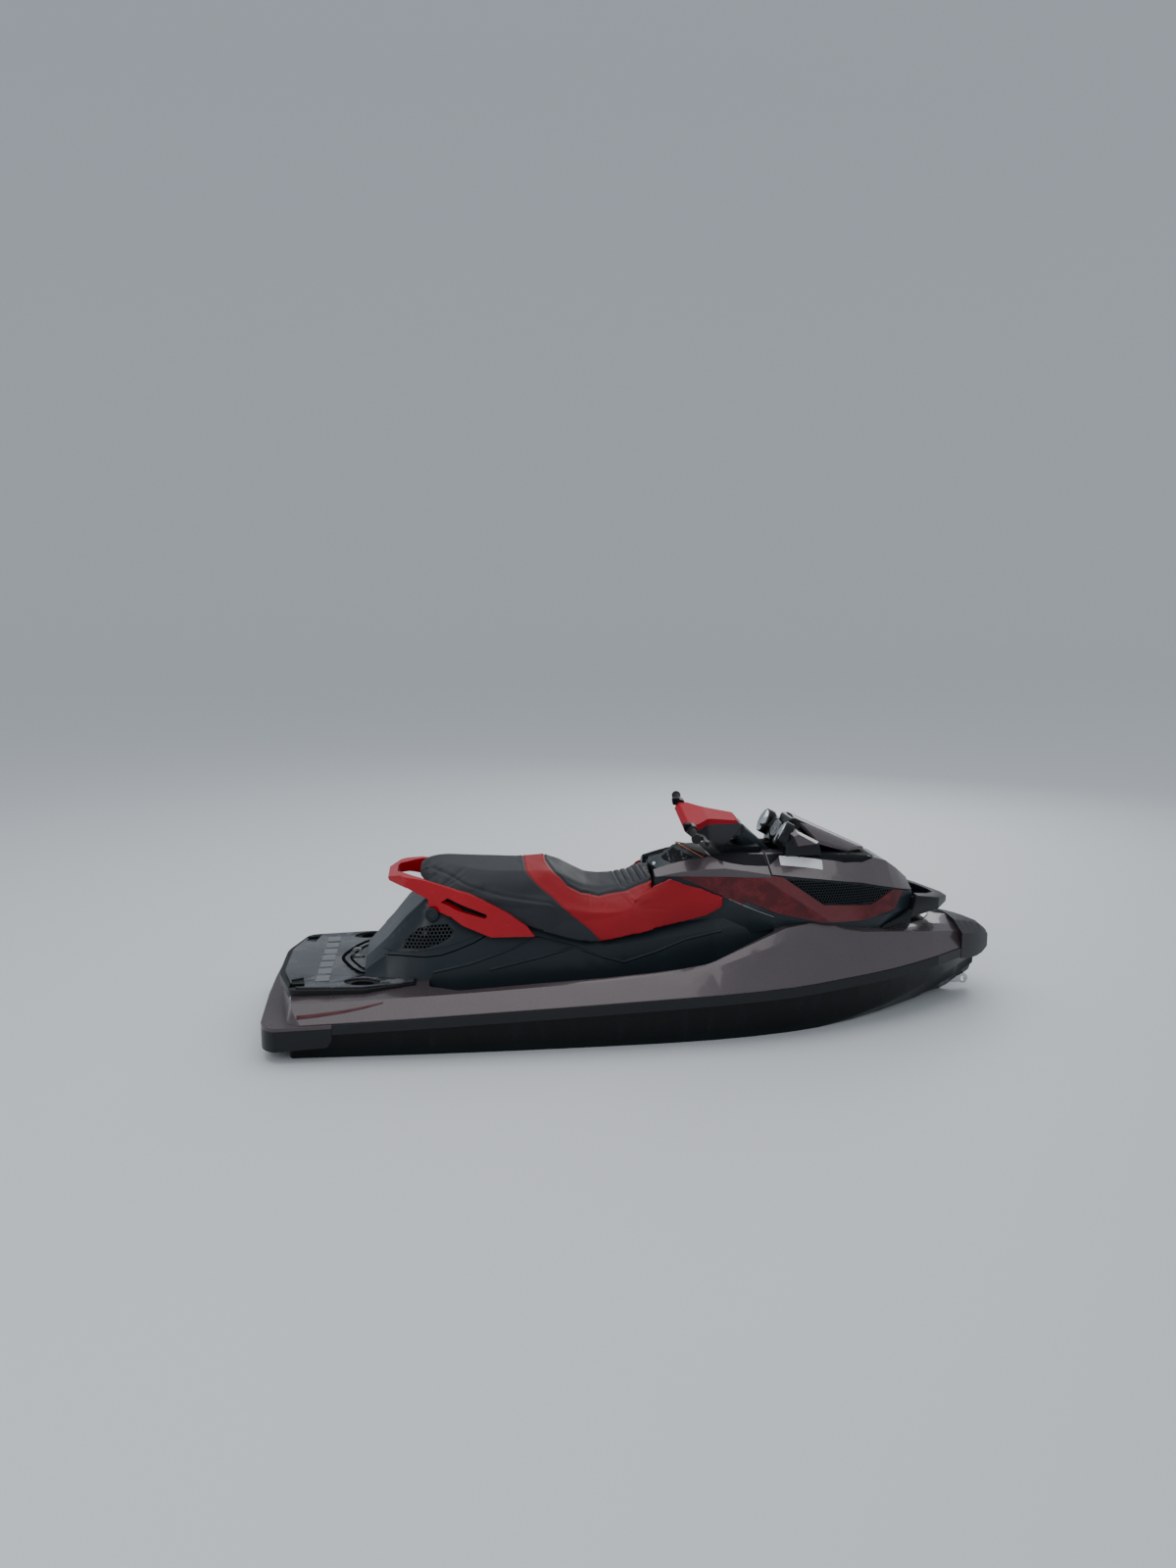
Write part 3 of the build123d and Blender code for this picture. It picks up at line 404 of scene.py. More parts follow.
def bevelled(obj, width, angle=30):
    """Rounds the edges sharper than an angle in degrees."""
    modify(obj, "BEVEL", width=width, segments=2, limit_method="ANGLE", angle_limit=math.radians(angle))


def laid(obj, target, side, lift):
    """Presses a sheet on a piece's side, or on its top for side 0."""
    modify(obj, "SHRINKWRAP", target=target, wrap_method="PROJECT", wrap_mode="ABOVE_SURFACE", offset=lift,
           use_project_y=side != 0, use_project_z=side == 0,
           use_positive_direction=side < 0, use_negative_direction=side >= 0)


def repeated(obj, count, step):
    """Repeats a piece at even steps and merges the points where the copies meet."""
    modify(obj, "ARRAY", count=count, use_relative_offset=False, use_constant_offset=True,
           constant_offset_displace=step, use_merge_vertices=True, merge_threshold=MERGE)


def finished(obj, name, slot, body=None, replaces=()):
    """Names a piece, puts its place in its mesh and hands it to its body."""
    only(obj)
    settle()
    obj.name = name
    obj.data.name = name
    obj.data.materials.clear()
    obj.data.materials.append(FINISHES[slot].material)
    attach(obj, body or BODY_OF[replaces[0]])
    if replaces:
        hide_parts(*replaces)
    return obj


def merged_copy(node):
    """A copy of a CAD node with its doubled points merged and its flats made whole."""
    obj = bpy.data.objects.new(node + "_copy", NODES[node].data.copy())
    bpy.context.scene.collection.objects.link(obj)
    only(obj)
    if obj.data.has_custom_normals:
        bpy.ops.mesh.customdata_custom_splitnormals_clear()
    edit_all(obj)
    bpy.ops.mesh.remove_doubles(threshold=MERGE)
    bpy.ops.mesh.dissolve_limited(angle_limit=FLAT)
    done()
    return obj


def softened(node, edge):
    """A rigid panel's copy with its edges rounded, shaded smooth up to them."""
    obj = merged_copy(node)
    eased(obj, edge, 30)
    modify(obj, "WEIGHTED_NORMAL", keep_sharp=True)
    return obj


def rounded(corners, steps=5):
    """Points round a loop of corners, each given as (a, b, radius)."""
    points = []
    for i, (a, b, r) in enumerate(corners):
        here = Vector((a, b))
        back = (Vector(corners[i - 1][:2]) - here).normalized()
        ahead = (Vector(corners[(i + 1) % len(corners)][:2]) - here).normalized()
        if r == 0:
            points.append(here)
            continue
        reach = r / math.tan(back.angle(ahead) / 2)
        for t in [j / steps for j in range(steps + 1)]:
            points.append(here + back * reach * (1 - t) ** 2 + ahead * reach * t ** 2)
    return [(p.x, p.y) for p in points]


def to_side(points, side):
    """Starboard points as they are for side -1, or mirrored to port for side 1."""
    return [(x, -side * y, *rest) for x, y, *rest in points]


def on_ellipse(radii, turn, height):
    return Vector((radii[0] * math.cos(turn), radii[1] * math.sin(turn), height))


def shell(node):
    """The visible piece that stands for a CAD node."""
    return bpy.data.objects[node + "_shell"]


def seen_on(target, a, b, side):
    """Where a sight line meets a piece: along Y at (x, z) for side -1 or 1, down at (x, y) for side 0."""
    start = Vector((a, b, 2)) if side == 0 else Vector((a, side * 2, b))
    way = Vector((0, 0, -1)) if side == 0 else Vector((0, -side, 0))
    hit, place, normal, _ = target.ray_cast(start, way)
    if not hit:
        raise RuntimeError(f"nothing of {target.name} at {a:.3f}, {b:.3f}")
    return place, normal


def drawn(loops, flat=True, radius=0):
    """A mesh from loops of points: the sheet inside flat ones, or lines in space, round if given a radius."""
    curve = bpy.data.curves.new("drawn", "CURVE")
    curve.dimensions = "2D" if flat else "3D"
    curve.fill_mode = "BOTH" if flat else "FULL"
    curve.bevel_depth = radius
    curve.bevel_resolution = 2
    curve.use_fill_caps = radius > 0
    for loop in loops:
        spline = curve.splines.new("POLY")
        spline.points.add(len(loop) - 1)
        for point, place in zip(spline.points, loop):
            point.co = (*place, 0, 1) if flat else (*place, 1)
        spline.use_cyclic_u = flat
    obj = bpy.data.objects.new("drawn", curve)
    bpy.context.scene.collection.objects.link(obj)
    only(obj)
    bpy.ops.object.convert(target="MESH")
    return obj


def cleaned(obj):
    """Merges doubled points and turns every face outwards."""
    edit_all(obj)
    bpy.ops.mesh.remove_doubles(threshold=MERGE)
    bpy.ops.mesh.normals_make_consistent(inside=False)
    done()
    return obj


def sliced(obj, axis, gap):
    """Cuts a mesh's faces at even steps along an axis, so that they can bend."""
    spots = [v.co[axis] for v in obj.data.vertices]
    normal = Vector([1.0 if i == axis else 0.0 for i in range(3)])
    edit(obj)
    for i in range(1, int((max(spots) - min(spots)) / gap) + 1):
        bpy.ops.mesh.select_all(action="SELECT")
        bpy.ops.mesh.bisect(plane_co=normal * (min(spots) + i * gap), plane_no=normal)
    done()


def prism(outline, low, high, across=False):
    """A plan outline drawn up from one height to another, or a side outline drawn across the craft."""
    obj = drawn([outline])
    obj.location = (0, low, 0) if across else (0, 0, low)
    obj.rotation_euler = (math.pi / 2 if across else 0, 0, 0)
    settle()
    edit_all(obj)
    way = (0, high - low, 0) if across else (0, 0, high - low)
    bpy.ops.mesh.extrude_region_move(TRANSFORM_OT_translate={"value": way})
    done()
    return cleaned(obj)


def cut_away(obj, cutter):
    modify(obj, "BOOLEAN", object=cutter, operation="DIFFERENCE", solver="EXACT")
    bpy.data.objects.remove(cutter)


def eased(obj, edge, angle):
    """Rounds a piece's edges and shades it smooth up to them."""
    bevelled(obj, edge, angle - 6)
    smooth(obj, angle)


def facet(corners, thick):
    """A plate through corners in space, with its edges rounded."""
    obj = drawn([[*corners, corners[0]]], flat=False)
    edit_all(obj)
    bpy.ops.mesh.remove_doubles(threshold=MERGE)
    bpy.ops.mesh.edge_face_add()
    done()
    modify(obj, "SOLIDIFY", thickness=thick, offset=0)
    cleaned(obj)
    bevelled(obj, thick * 0.3)
    return obj


BESIDE, ABOVE = 0.9, 1.5    # where a sheet starts, clear of the craft, before it is laid on
PANEL_EDGE = 0.0006


def panel(loops, target, side, thick, lift, tile=0.03):
    """A panel of even thickness cut to an outline and laid on a piece's side, or on its top for side 0."""
    obj = drawn(loops)
    obj.rotation_euler = (math.pi / 2 if side else 0, 0, 0)
    obj.location = (0, side * BESIDE, 0 if side else ABOVE)
    settle()
    for axis in ((0, 2) if side else (0, 1)):
        sliced(obj, axis, tile)
    laid(obj, target, side, lift)
    start = BESIDE if side else ABOVE
    if max(abs(v.co.y) if side else v.co.z for v in obj.data.vertices) > 0.99 * start:
        raise RuntimeError(f"a panel reaches past {target.name}")
    modify(obj, "SOLIDIFY", thickness=thick, offset=0)
    cleaned(obj)
    bevelled(obj, PANEL_EDGE, 50)
    smooth(obj, 40)
    return obj


def line_on(name, slot, body, points, target, side, radius, lift=0.0, gap=0.015):
    """A round bead along a line of points on a piece's side, or on its top for side 0."""
    spots = []
    for start, end in zip(points, points[1:]):
        start, end = Vector(start), Vector(end)
        count = max(1, round((end - start).length / gap))
        spots += [start.lerp(end, i / count) for i in range(count)]
    spots.append(Vector(points[-1]))
    hits = [seen_on(target, spot.x, spot.y, side) for spot in spots]
    return bead(name, slot, body, [place + normal * lift for place, normal in hits], radius)


def bead(name, slot, body, points, radius):
    """A round bead through points in space, with closed ends."""
    obj = cleaned(drawn([points], flat=False, radius=radius))
    smooth(obj, 50)
    return finished(obj, name, slot, body)


def turned(stations, sides=32):
    """A turned shape along Z through (height, radius) stations, made by pulling a disc out and scaling it."""
    (height, radius), *others = stations
    obj = added(bpy.ops.mesh.primitive_circle_add, vertices=sides, radius=radius, fill_type="NGON",
                location=(0, 0, height))
    edit_all(obj)
    for top, wide in others:
        bpy.ops.mesh.extrude_region_move(TRANSFORM_OT_translate={"value": (0, 0, top - height)})
        bpy.ops.transform.resize(value=(wide / radius, wide / radius, 1), center_override=(0, 0, top))
        height, radius = top, wide
    done()
    return cleaned(obj)


def rounded_block(size, edge, place=(0, 0, 0), segments=3):
    """A small block with its edges rounded, moved to its place."""
    obj = added(bpy.ops.mesh.primitive_cube_add, size=1, scale=size)
    modify(obj, "BEVEL", width=edge, segments=segments)
    smooth(obj, 40)
    obj.location = place
    return obj


def joined(pieces):
    only(pieces[0])
    for piece in pieces[1:]:
        piece.select_set(True)
    bpy.ops.object.join()
    return pieces[0]


ROW_STEP = 0.866        # rows of hexagons lie this share of a cell apart
NET_DEPTH = 0.005


def honeycomb(outline, pitch, wall):
    """A flat net of hexagonal cells in the side plane that covers an outline."""
    xs = [x for x, z in outline]
    zs = [z for x, z in outline]
    columns = int((max(xs) - min(xs)) / pitch) + 3
    rows = int((max(zs) - min(zs)) / (pitch * ROW_STEP)) + 3
    net = added(bpy.ops.mesh.primitive_circle_add, vertices=6, radius=pitch / math.sqrt(3), fill_type="NGON")
    edit_all(net)
    bpy.ops.mesh.inset(thickness=wall / 2, use_even_offset=True)
    bpy.ops.mesh.delete(type="FACE")
    done()
    repeated(net, columns + rows // 2, (pitch, 0, 0))
    repeated(net, rows, (-pitch / 2, pitch * ROW_STEP, 0))
    net.rotation_euler = (math.pi / 2, 0, 0)
    net.location = (min(xs) - pitch, 0, min(zs) - pitch)
    settle()
    centres = np.array([face.center for face in net.data.polygons])
    pick(net, ~inside(centres[:, 0], centres[:, 2], outline))
    bpy.ops.mesh.delete(type="FACE")
    bpy.ops.mesh.select_all(action="SELECT")
    bpy.ops.mesh.delete_loose()
    done()
    return cleaned(net)


def netted(outline, pitch, wall, target, side, lift):
    """That net laid on a piece's side and given its depth."""
    net = honeycomb(outline, pitch, wall)
    net.location = (0, side * BESIDE, 0)
    settle()
    laid(net, target, side, lift)
    modify(net, "SOLIDIFY", thickness=NET_DEPTH, offset=0)
    return cleaned(net)


# Soft pieces

def line_distance(a, b, points):
    """Distance in the side plane from each place (a, b) to a line of points."""
    best = np.full(len(a), 9.0)
    for (a0, b0), (a1, b1) in zip(points, points[1:]):
        run = (a1 - a0) ** 2 + (b1 - b0) ** 2
        t = np.clip(((a - a0) * (a1 - a0) + (b - b0) * (b1 - b0)) / run, 0, 1)
        best = np.minimum(best, np.hypot(a - a0 - t * (a1 - a0), b - b0 - t * (b1 - b0)))
    return best


def inside(a, b, loop):
    """Whether each place (a, b) lies inside a loop of points."""
    odd = np.zeros(len(a), bool)
    for (a0, b0), (a1, b1) in zip(loop, [*loop[1:], loop[0]]):
        if b0 != b1:
            odd ^= ((b0 > b) != (b1 > b)) & (a < a0 + (b - b0) / (b1 - b0) * (a1 - a0))
    return odd


def points_of(mesh, field="co"):
    values = np.empty(len(mesh.vertices) * 3)
    mesh.vertices.foreach_get(field, values)
    return values.reshape(-1, 3)


def ramp(value, start, reach):
    """Rises from 0 at the start to 1 over the reach."""
    return np.clip((value - start) / reach, 0, 1)


def hump(value, middle, reach):
    """1 at the middle, fading to 0 on both sides."""
    return np.exp(-((value - middle) / reach) ** 2)


def stitched(profile, depth, width):
    """How far the cover moves out at each distance from a seam: a valley with a puffed edge on each side."""
    return depth * (0.35 * hump(profile, 2.6 * width, 1.5 * width) - hump(profile, 0, width))


def resting(places, normals):
    """Which points of a cover lie on its base or face inwards."""
    return (normals[:, 2] < -0.45) | (normals[:, 1] * np.sign(places[:, 1]) < -0.3)


def inflated(obj, pressure, most):
    """Swells a closed cover by air pressure, held where it rests on its base, no further than most."""
    start = points_of(obj.data)
    on_base = resting(start, points_of(obj.data, "normal"))
    held = obj.vertex_groups.new(name="held")
    held.add([int(i) for i in np.nonzero(on_base)[0]], 1.0, "REPLACE")
    cloth = obj.modifiers.new("air", "CLOTH")
    cloth.settings.quality = 5
    cloth.settings.use_pressure = True
    cloth.settings.uniform_pressure_force = pressure
    cloth.settings.effector_weights.gravity = 0
    cloth.settings.vertex_group_mass = "held"
    cloth.collision_settings.use_collision = False
    for frame_number in range(1, 21):
        bpy.context.scene.frame_set(frame_number)
    only(obj)
    bpy.ops.object.modifier_apply(modifier=cloth.name)
    bpy.context.scene.frame_set(1)
    move = points_of(obj.data) - start
    far = np.linalg.norm(move, axis=1, keepdims=True)
    move *= np.minimum(1, most / np.maximum(far, 1e-9))
    obj.data.vertices.foreach_set("co", (start + move).ravel())
    obj.vertex_groups.clear()
    obj.data.update()


# Side view of the red panel, forwards along its upper edge and back along its lower one
RED_PANEL = [(-0.545, 0.67), (-0.472, 0.613), (-0.389, 0.534), (-0.304, 0.466), (-0.23, 0.38), (0.35, 0.38),
             (0.36, 0.602), (0.344, 0.602), (0.2, 0.66), (0.091, 0.699), (-0.015, 0.655), (-0.111, 0.619),
             (-0.249, 0.6), (-0.334, 0.619), (-0.397, 0.653), (-0.43, 0.69), (-0.454, 0.708), (-0.491, 0.75),
             (-0.49, 0.85), (-0.6, 0.85), (-0.59, 0.72)]
REAR_CREASE = [(-1.06, 0.73), (-1.03, 0.742), (-0.955, 0.72), (-0.863, 0.677), (-0.697, 0.628),
               (-0.487, 0.592), (-0.4, 0.54)]
PLEATS = (-0.172, -0.138, -0.104, -0.07, -0.036)
SEAM, PLEAT, CREASE = (0.0035, 0.0035), (0.0045, 0.0042), (0.003, 0.005)    # depth and width of each
WING_Y = 0.24                       # the red wings lie further out than this
WING_TAIL = (-0.09, 0, -0.045)      # how their aft ends are drawn out
WING_DROP = 0.05
CELL = 0.008                        # voxels of the cushions
SHRINK, SWELL = 0.003, 0.009        # the cover is drawn in, then swells no further than this
AIR_PRESSURE = 4


def faired_wings(obj):
    """Draws the aft ends of the red wings back and down into the dish."""
    ends = [face.normal.x < -0.9 and abs(face.center.x) < 0.001 and abs(face.center.y) > WING_Y
            for face in obj.data.polygons]
    pick(obj, ends)
    bpy.ops.mesh.extrude_region_move(TRANSFORM_OT_translate={"value": WING_TAIL})
    done()
    pick(obj, [False] * len(obj.data.polygons))
    done()
    for point in obj.data.vertices:
        at_tail = abs(point.co.x - WING_TAIL[0]) < 0.002
        point.select = at_tail and point.co.z > 0.625 and abs(point.co.y) > WING_Y
    bpy.context.tool_settings.mesh_select_mode = (True, False, False)
    edit(obj)
    bpy.ops.transform.translate(value=(0, 0, -WING_DROP))
    done()


def cushion(nodes, name):
    """The seat cushions swollen from their plain solids, with their seams, pleats and red panel."""
    obj = joined([merged_copy(node) for node in nodes])
    faired_wings(obj)
    modify(obj, "REMESH", mode="VOXEL", voxel_size=CELL)
    modify(obj, "SMOOTH", factor=0.5, iterations=8)
    edit_all(obj)
    bpy.ops.transform.shrink_fatten(value=-SHRINK)
    done()
    inflated(obj, AIR_PRESSURE, SWELL)
    modify(obj, "SUBSURF", levels=1, render_levels=1)
    places = points_of(obj.data)
    normals = points_of(obj.data, "normal")
    x, y, z = places.T
    # The front rises and leads forward between the wings, whose fore tips fall
    wing = ramp(abs(y), 0.2, 0.035)
    crest = ramp(z, 0.6, 0.07)
    lead = ramp(x, -0.06, 0.06) * (1 - wing) * crest
    fall = 0.028 * hump(x, -0.01, 0.06) - 0.018 * hump(x, 0.085, 0.06)
    places[:, 2] += 0.018 * lead - fall * wing * crest
    places[:, 0] += 0.006 * lead
    # The seam round the red panel, the raked pleats ahead of it and the rear crease
    border = line_distance(x, z, [*RED_PANEL, RED_PANEL[0]])
    rise = stitched(border, *SEAM)
    raked = x + 0.5 * (z - 0.707)
    valley = (border > 0.012) & ~inside(x, z, RED_PANEL) & (x > -0.25) & (z > 0.56)
    for place in PLEATS:
        rise += np.where(valley, stitched(abs(raked - place), *PLEAT), 0)
    rise += np.where(x < -0.39, stitched(line_distance(x, z, REAR_CREASE), *CREASE), 0)
    # Small pulls along the seam and an uneven fill
    pull = np.sin(x * 61 + z * 23 + np.sin(abs(y) * 37) * 1.4) * hump(border, 0, 0.05)
    rise += pull * 0.0007 + np.sin(x * 17 + abs(y) * 29) * np.sin(z * 31 - x * 11) * 0.0008
    outer = ~resting(places, normals)
    obj.data.vertices.foreach_set("co", (places + normals * (rise * outer)[:, None]).ravel())
    red = np.where(inside(x, z, RED_PANEL), border, -border)
    obj.data.attributes.new("red_band", "FLOAT", "POINT").data.foreach_set("value", red.astype(np.float32))
    obj.data.update()
    only(obj)
    bpy.ops.object.shade_smooth()
    finished(obj, name, "seat_vinyl", "seat", nodes)
    return obj


# Sizes and colours a user would change

def color_setting(name, description, default):
    return bpy.props.FloatVectorProperty(name=name, description=description, subtype="COLOR", size=3,
                                         min=0, max=1, default=default)


class WatercraftLook(bpy.types.PropertyGroup):
    deck_color: color_setting("Deck colour", "Paint of the deck, hood and cowl", PLUM)
    side_color: color_setting("Side colour", "Moulding of the saddle and console", CHARCOAL)
    fairing_color: color_setting("Fairing colour", "Base of the smoked side fairings", (0.10, 0.003, 0.007))
    handle_color: color_setting("Handle colour", "Moulding of the grab handle", (0.42, 0.005, 0.014))
    edge: bpy.props.FloatProperty(
        name="Panel edge", description="Radius on the rim of each moulded panel",
        unit="LENGTH", min=0.0005, max=0.01, default=0.0025)


class WATERCRAFT_OT_finishes(bpy.types.Operator):
    """Makes the materials and puts them on every CAD node"""
    bl_idname = "watercraft.finishes"
    bl_label = "Finishes"

    def execute(self, context):
        FINISHES.update(make_finishes(context.scene.watercraft_look))
        for name, node in NODES.items():
            node.data.materials.clear()
            node.data.materials.append(FINISHES[SLOTS[name]].material)
        return {"FINISHED"}


SHELLS = ("hull", "deck", "rail", "bow_bumper", "stern_bumper", "saddle", "front_body", "cowl",
          "neck_collar", "side_fairings", "hood", "mirror_fins", "grab_handle", "bar_cover",
          "bar_pad", "steering_neck", "platform", "footwell_mats", "glovebox_lid", "glove_tub", "seat_pan",
          "sponsons", "reverse_gate", "throttle_lever", "reverse_lever", "bar_tube")
SHELL_FINISHES = {"throttle_lever": "black_plastic", "reverse_lever": "black_plastic",
                  "bar_tube": "black_plastic", "neck_collar": "matt_black", "bar_cover": "cover_grey"}
SHELL_EDGES = {"grab_handle": 0.008, "bar_pad": 0.007, "bar_cover": 0.006, "saddle": 0.005}
# Side view of the gap under the bow loop
BOW_GAP = [(1.60, 0.30), (1.60, 0.468), (1.30, 0.468), (1.17, 0.420), (1.15, 0.30)]
DEFLECTOR_DROP = 0.062      # how far the wind deflector's sides curve down
SHROUD_CELL = 0.0042        # voxels of the mirrors' shroud
GLASS_STATIONS = [(0, 0.056), (0.003, 0.056), (0.0055, 0.052), (0.009, 0.042), (0.0118, 0.030),
                  (0.0135, 0.016), (0.014, 0.001)]
GLASS_NARROW = 38 / 56      # the mirror glass is an ellipse
GLASS_AT = (0.636, 0.156, 0.876)
GLASS_TURN, GLASS_LEAN = math.radians(12), math.radians(-62)        # about Z and Y


class WATERCRAFT_OT_panels(bpy.types.Operator):
    """Rounds the moulded panels, opens the bow loop and makes the wind deflector, shroud and mirror glasses"""
    bl_idname = "watercraft.panels"
    bl_label = "Moulded panels"

    def execute(self, context):
        edge = context.scene.watercraft_look.edge
        for node in SHELLS:
            obj = softened(node, SHELL_EDGES.get(node, edge))
            finished(obj, node + "_shell", SHELL_FINISHES.get(node, SLOTS[node]), replaces=(node,))

        loop = merged_copy("bow_trim")
        cut_away(loop, prism(BOW_GAP, -0.4, 0.4, across=True))
        eased(loop, 0.006, 40)
        finished(loop, "bow_loop", "black_plastic", replaces=("bow_trim",))

        visor = merged_copy("deflector")
        for axis in (0, 1):
            sliced(visor, axis, 0.014)
        places = points_of(visor.data)
        places[:, 2] -= DEFLECTOR_DROP * ramp(abs(places[:, 1]), 0.03, 0.11) ** 1.7
        visor.data.vertices.foreach_set("co", places.ravel())
        visor.data.update()
        eased(visor, edge, 46)
        finished(visor, "deflector_visor", "deck_plum", replaces=("deflector",))

        shroud = joined([merged_copy(node) for node in ("mirror_housings", "gauge_pod")])
        modify(shroud, "REMESH", mode="VOXEL", voxel_size=SHROUD_CELL)
        modify(shroud, "SMOOTH", factor=0.5, iterations=14)
        smooth(shroud, 40)
        finished(shroud, "cockpit_shroud", "shroud_black", replaces=("mirror_housings", "gauge_pod"))

        glasses = []
        for side in (-1, 1):
            glass = turned(GLASS_STATIONS, 48)
            place = Matrix.Translation((GLASS_AT[0], side * GLASS_AT[1], GLASS_AT[2]))
            aim = Matrix.Rotation(side * GLASS_TURN, 4, "Z") @ Matrix.Rotation(GLASS_LEAN, 4, "Y")
            glass.matrix_world = place @ aim @ Matrix.Diagonal((1, GLASS_NARROW, 1, 1))
            smooth(glass, 35)
            glasses.append(glass)
        finished(joined(glasses), "mirror_domes", "mirror", replaces=("mirror_glass",))
        return {"FINISHED"}


class WATERCRAFT_OT_seat(bpy.types.Operator):
    """Swells the front and rear cushions as one upholstered seat"""
    bl_idname = "watercraft.seat"
    bl_label = "Seat cushions"

    def execute(self, context):
        cushion(("seat_front", "seat_rear"), "seat_cushions")
        return {"FINISHED"}


# Side view outlines of the mesh window, the vent cover and the grille in it
WINDOW = [(0.632, 0.680), (0.796, 0.570), (1.040, 0.554), (1.160, 0.600), (1.000, 0.638), (0.800, 0.664)]
VENT_COVER = [(-1.262, 0.392, 0), (-1.062, 0.598, 0.02), (-1.000, 0.588, 0), (-0.800, 0.462, 0),
              (-0.960, 0.416, 0.06), (-1.120, 0.392, 0.06)]
GRILLE = [(-1.170, 0.406), (-1.150, 0.445), (-1.090, 0.494), (-1.030, 0.506), (-0.962, 0.508),
          (-0.935, 0.478), (-0.955, 0.450), (-1.005, 0.424), (-1.090, 0.402)]
# Side view of the black line under the vent cover's lower edge, a painted shadow of that edge
VENT_SEAM_SHADOW = [(-1.250, 0.376), (-1.173, 0.376), (-1.067, 0.369), (-0.995, 0.374), (-0.930, 0.392),
             (-0.846, 0.421), (-0.790, 0.448)]
WINDOW_NET, GRILLE_NET = (0.0135, 0.003), (0.017, 0.005)        # pitch and wall of their cells
CAP_AT = (-1.034, 0.276, 0.562)
CAP_STATIONS = [(0, 0.031), (0.008, 0.031), (0.011, 0.028), (0.011, 0.022), (0.006, 0.020), (0.006, 0.001)]
SADDLE_CREASES = {
    "long": [(-1.031, 0.300), (-0.863, 0.329), (-0.704, 0.374), (-0.553, 0.427), (-0.371, 0.376),
             (-0.245, 0.328), (-0.141, 0.299), (0.011, 0.342), (0.151, 0.396), (0.326, 0.434)],
    "short": [(-0.774, 0.297), (-0.545, 0.337), (-0.380, 0.374)],
}


class WATERCRAFT_OT_grilles(bpy.types.Operator):
    """Fits the fine honeycombs in the side windows and in the vent covers"""
    bl_idname = "watercraft.grilles"
    bl_label = "Grilles and vents"

    def execute(self, context):
        body, saddle = shell("front_body"), shell("saddle")
        windows = [netted(WINDOW, *WINDOW_NET, body, side, 0.0065) for side in (-1, 1)]
        finished(joined(windows), "window_meshes", "mesh_black", replaces=("side_meshes",))
        covers = [panel([rounded(VENT_COVER), GRILLE], saddle, side, 0.007, 0.0035) for side in (-1, 1)]
        finished(joined(covers), "vent_covers", "charcoal", replaces=("vent_panels",))
        grilles = [netted(GRILLE, *GRILLE_NET, saddle, side, 0.0045) for side in (-1, 1)]
        finished(joined(grilles), "vent_grilles", "mesh_black", "craft")
        # Black sheets under the window meshes and the grilles are painted shade of the dark inside behind them
        shade_sheets = [panel([WINDOW], body, side, 0.002, 0.002) for side in (-1, 1)]
        shade_sheets += [panel([GRILLE], saddle, side, 0.001, 0.001) for side in (-1, 1)]
        finished(joined(shade_sheets), "grille_shade_sheets", "shade_and_trim_black", "craft")
        for side, tag in SIDES:
            cap = turned(CAP_STATIONS)
            cap.rotation_euler = (-side * math.pi / 2, 0, 0)
            cap.location = (CAP_AT[0], side * CAP_AT[1], CAP_AT[2])
            smooth(cap, 35)
            finished(cap, "vent_cap_" + tag, "charcoal", "craft")
            # A black bead under the cover's lower edge is painted shadow of that edge
            line_on("vent_seam_shadow_" + tag, "shade_and_trim_black", "craft", VENT_SEAM_SHADOW, saddle, side, 0.003, -0.001)
            for crease, points in SADDLE_CREASES.items():
                name = f"saddle_crease_{crease}_{tag}"
                line_on(name, "charcoal", "craft", points, saddle, side, 0.009, -0.0055)
        return {"FINISHED"}


# Plan view of the stern platform's trims, starboard side
PAD_TOP = 0.284
SLOT = [(-1.672, -0.298), (-1.620, -0.272), (-1.600, -0.398), (-1.650, -0.398)]
RECESS = [(-1.350 + 0.082 * math.cos(t) - 0.011 * math.sin(t),
           -0.362 - 0.017 * math.cos(t) - 0.050 * math.sin(t)) for t in [i * math.pi / 16 for i in range(32)]]
U_TRIMS = [[(-1.463, 0.0), (-1.455, -0.050), (-1.435, -0.105), (-1.405, -0.180), (-1.370, -0.235),
            (-1.335, -0.262)],
           [(-1.425, 0.0), (-1.418, -0.040), (-1.398, -0.095), (-1.368, -0.165), (-1.335, -0.205)]]
BLOCK = (0.062, 0.074, 0.006)
BLOCKS = [(-1.53, y / 10, PAD_TOP) for y in range(-3, 4)]
MAT_RIB = (1.0, 0.008, 0.006)
MAT_RIBS = [(-0.4, y, 0.087) for y in (0.368, 0.388, 0.408, 0.428, 0.446)]     # port side


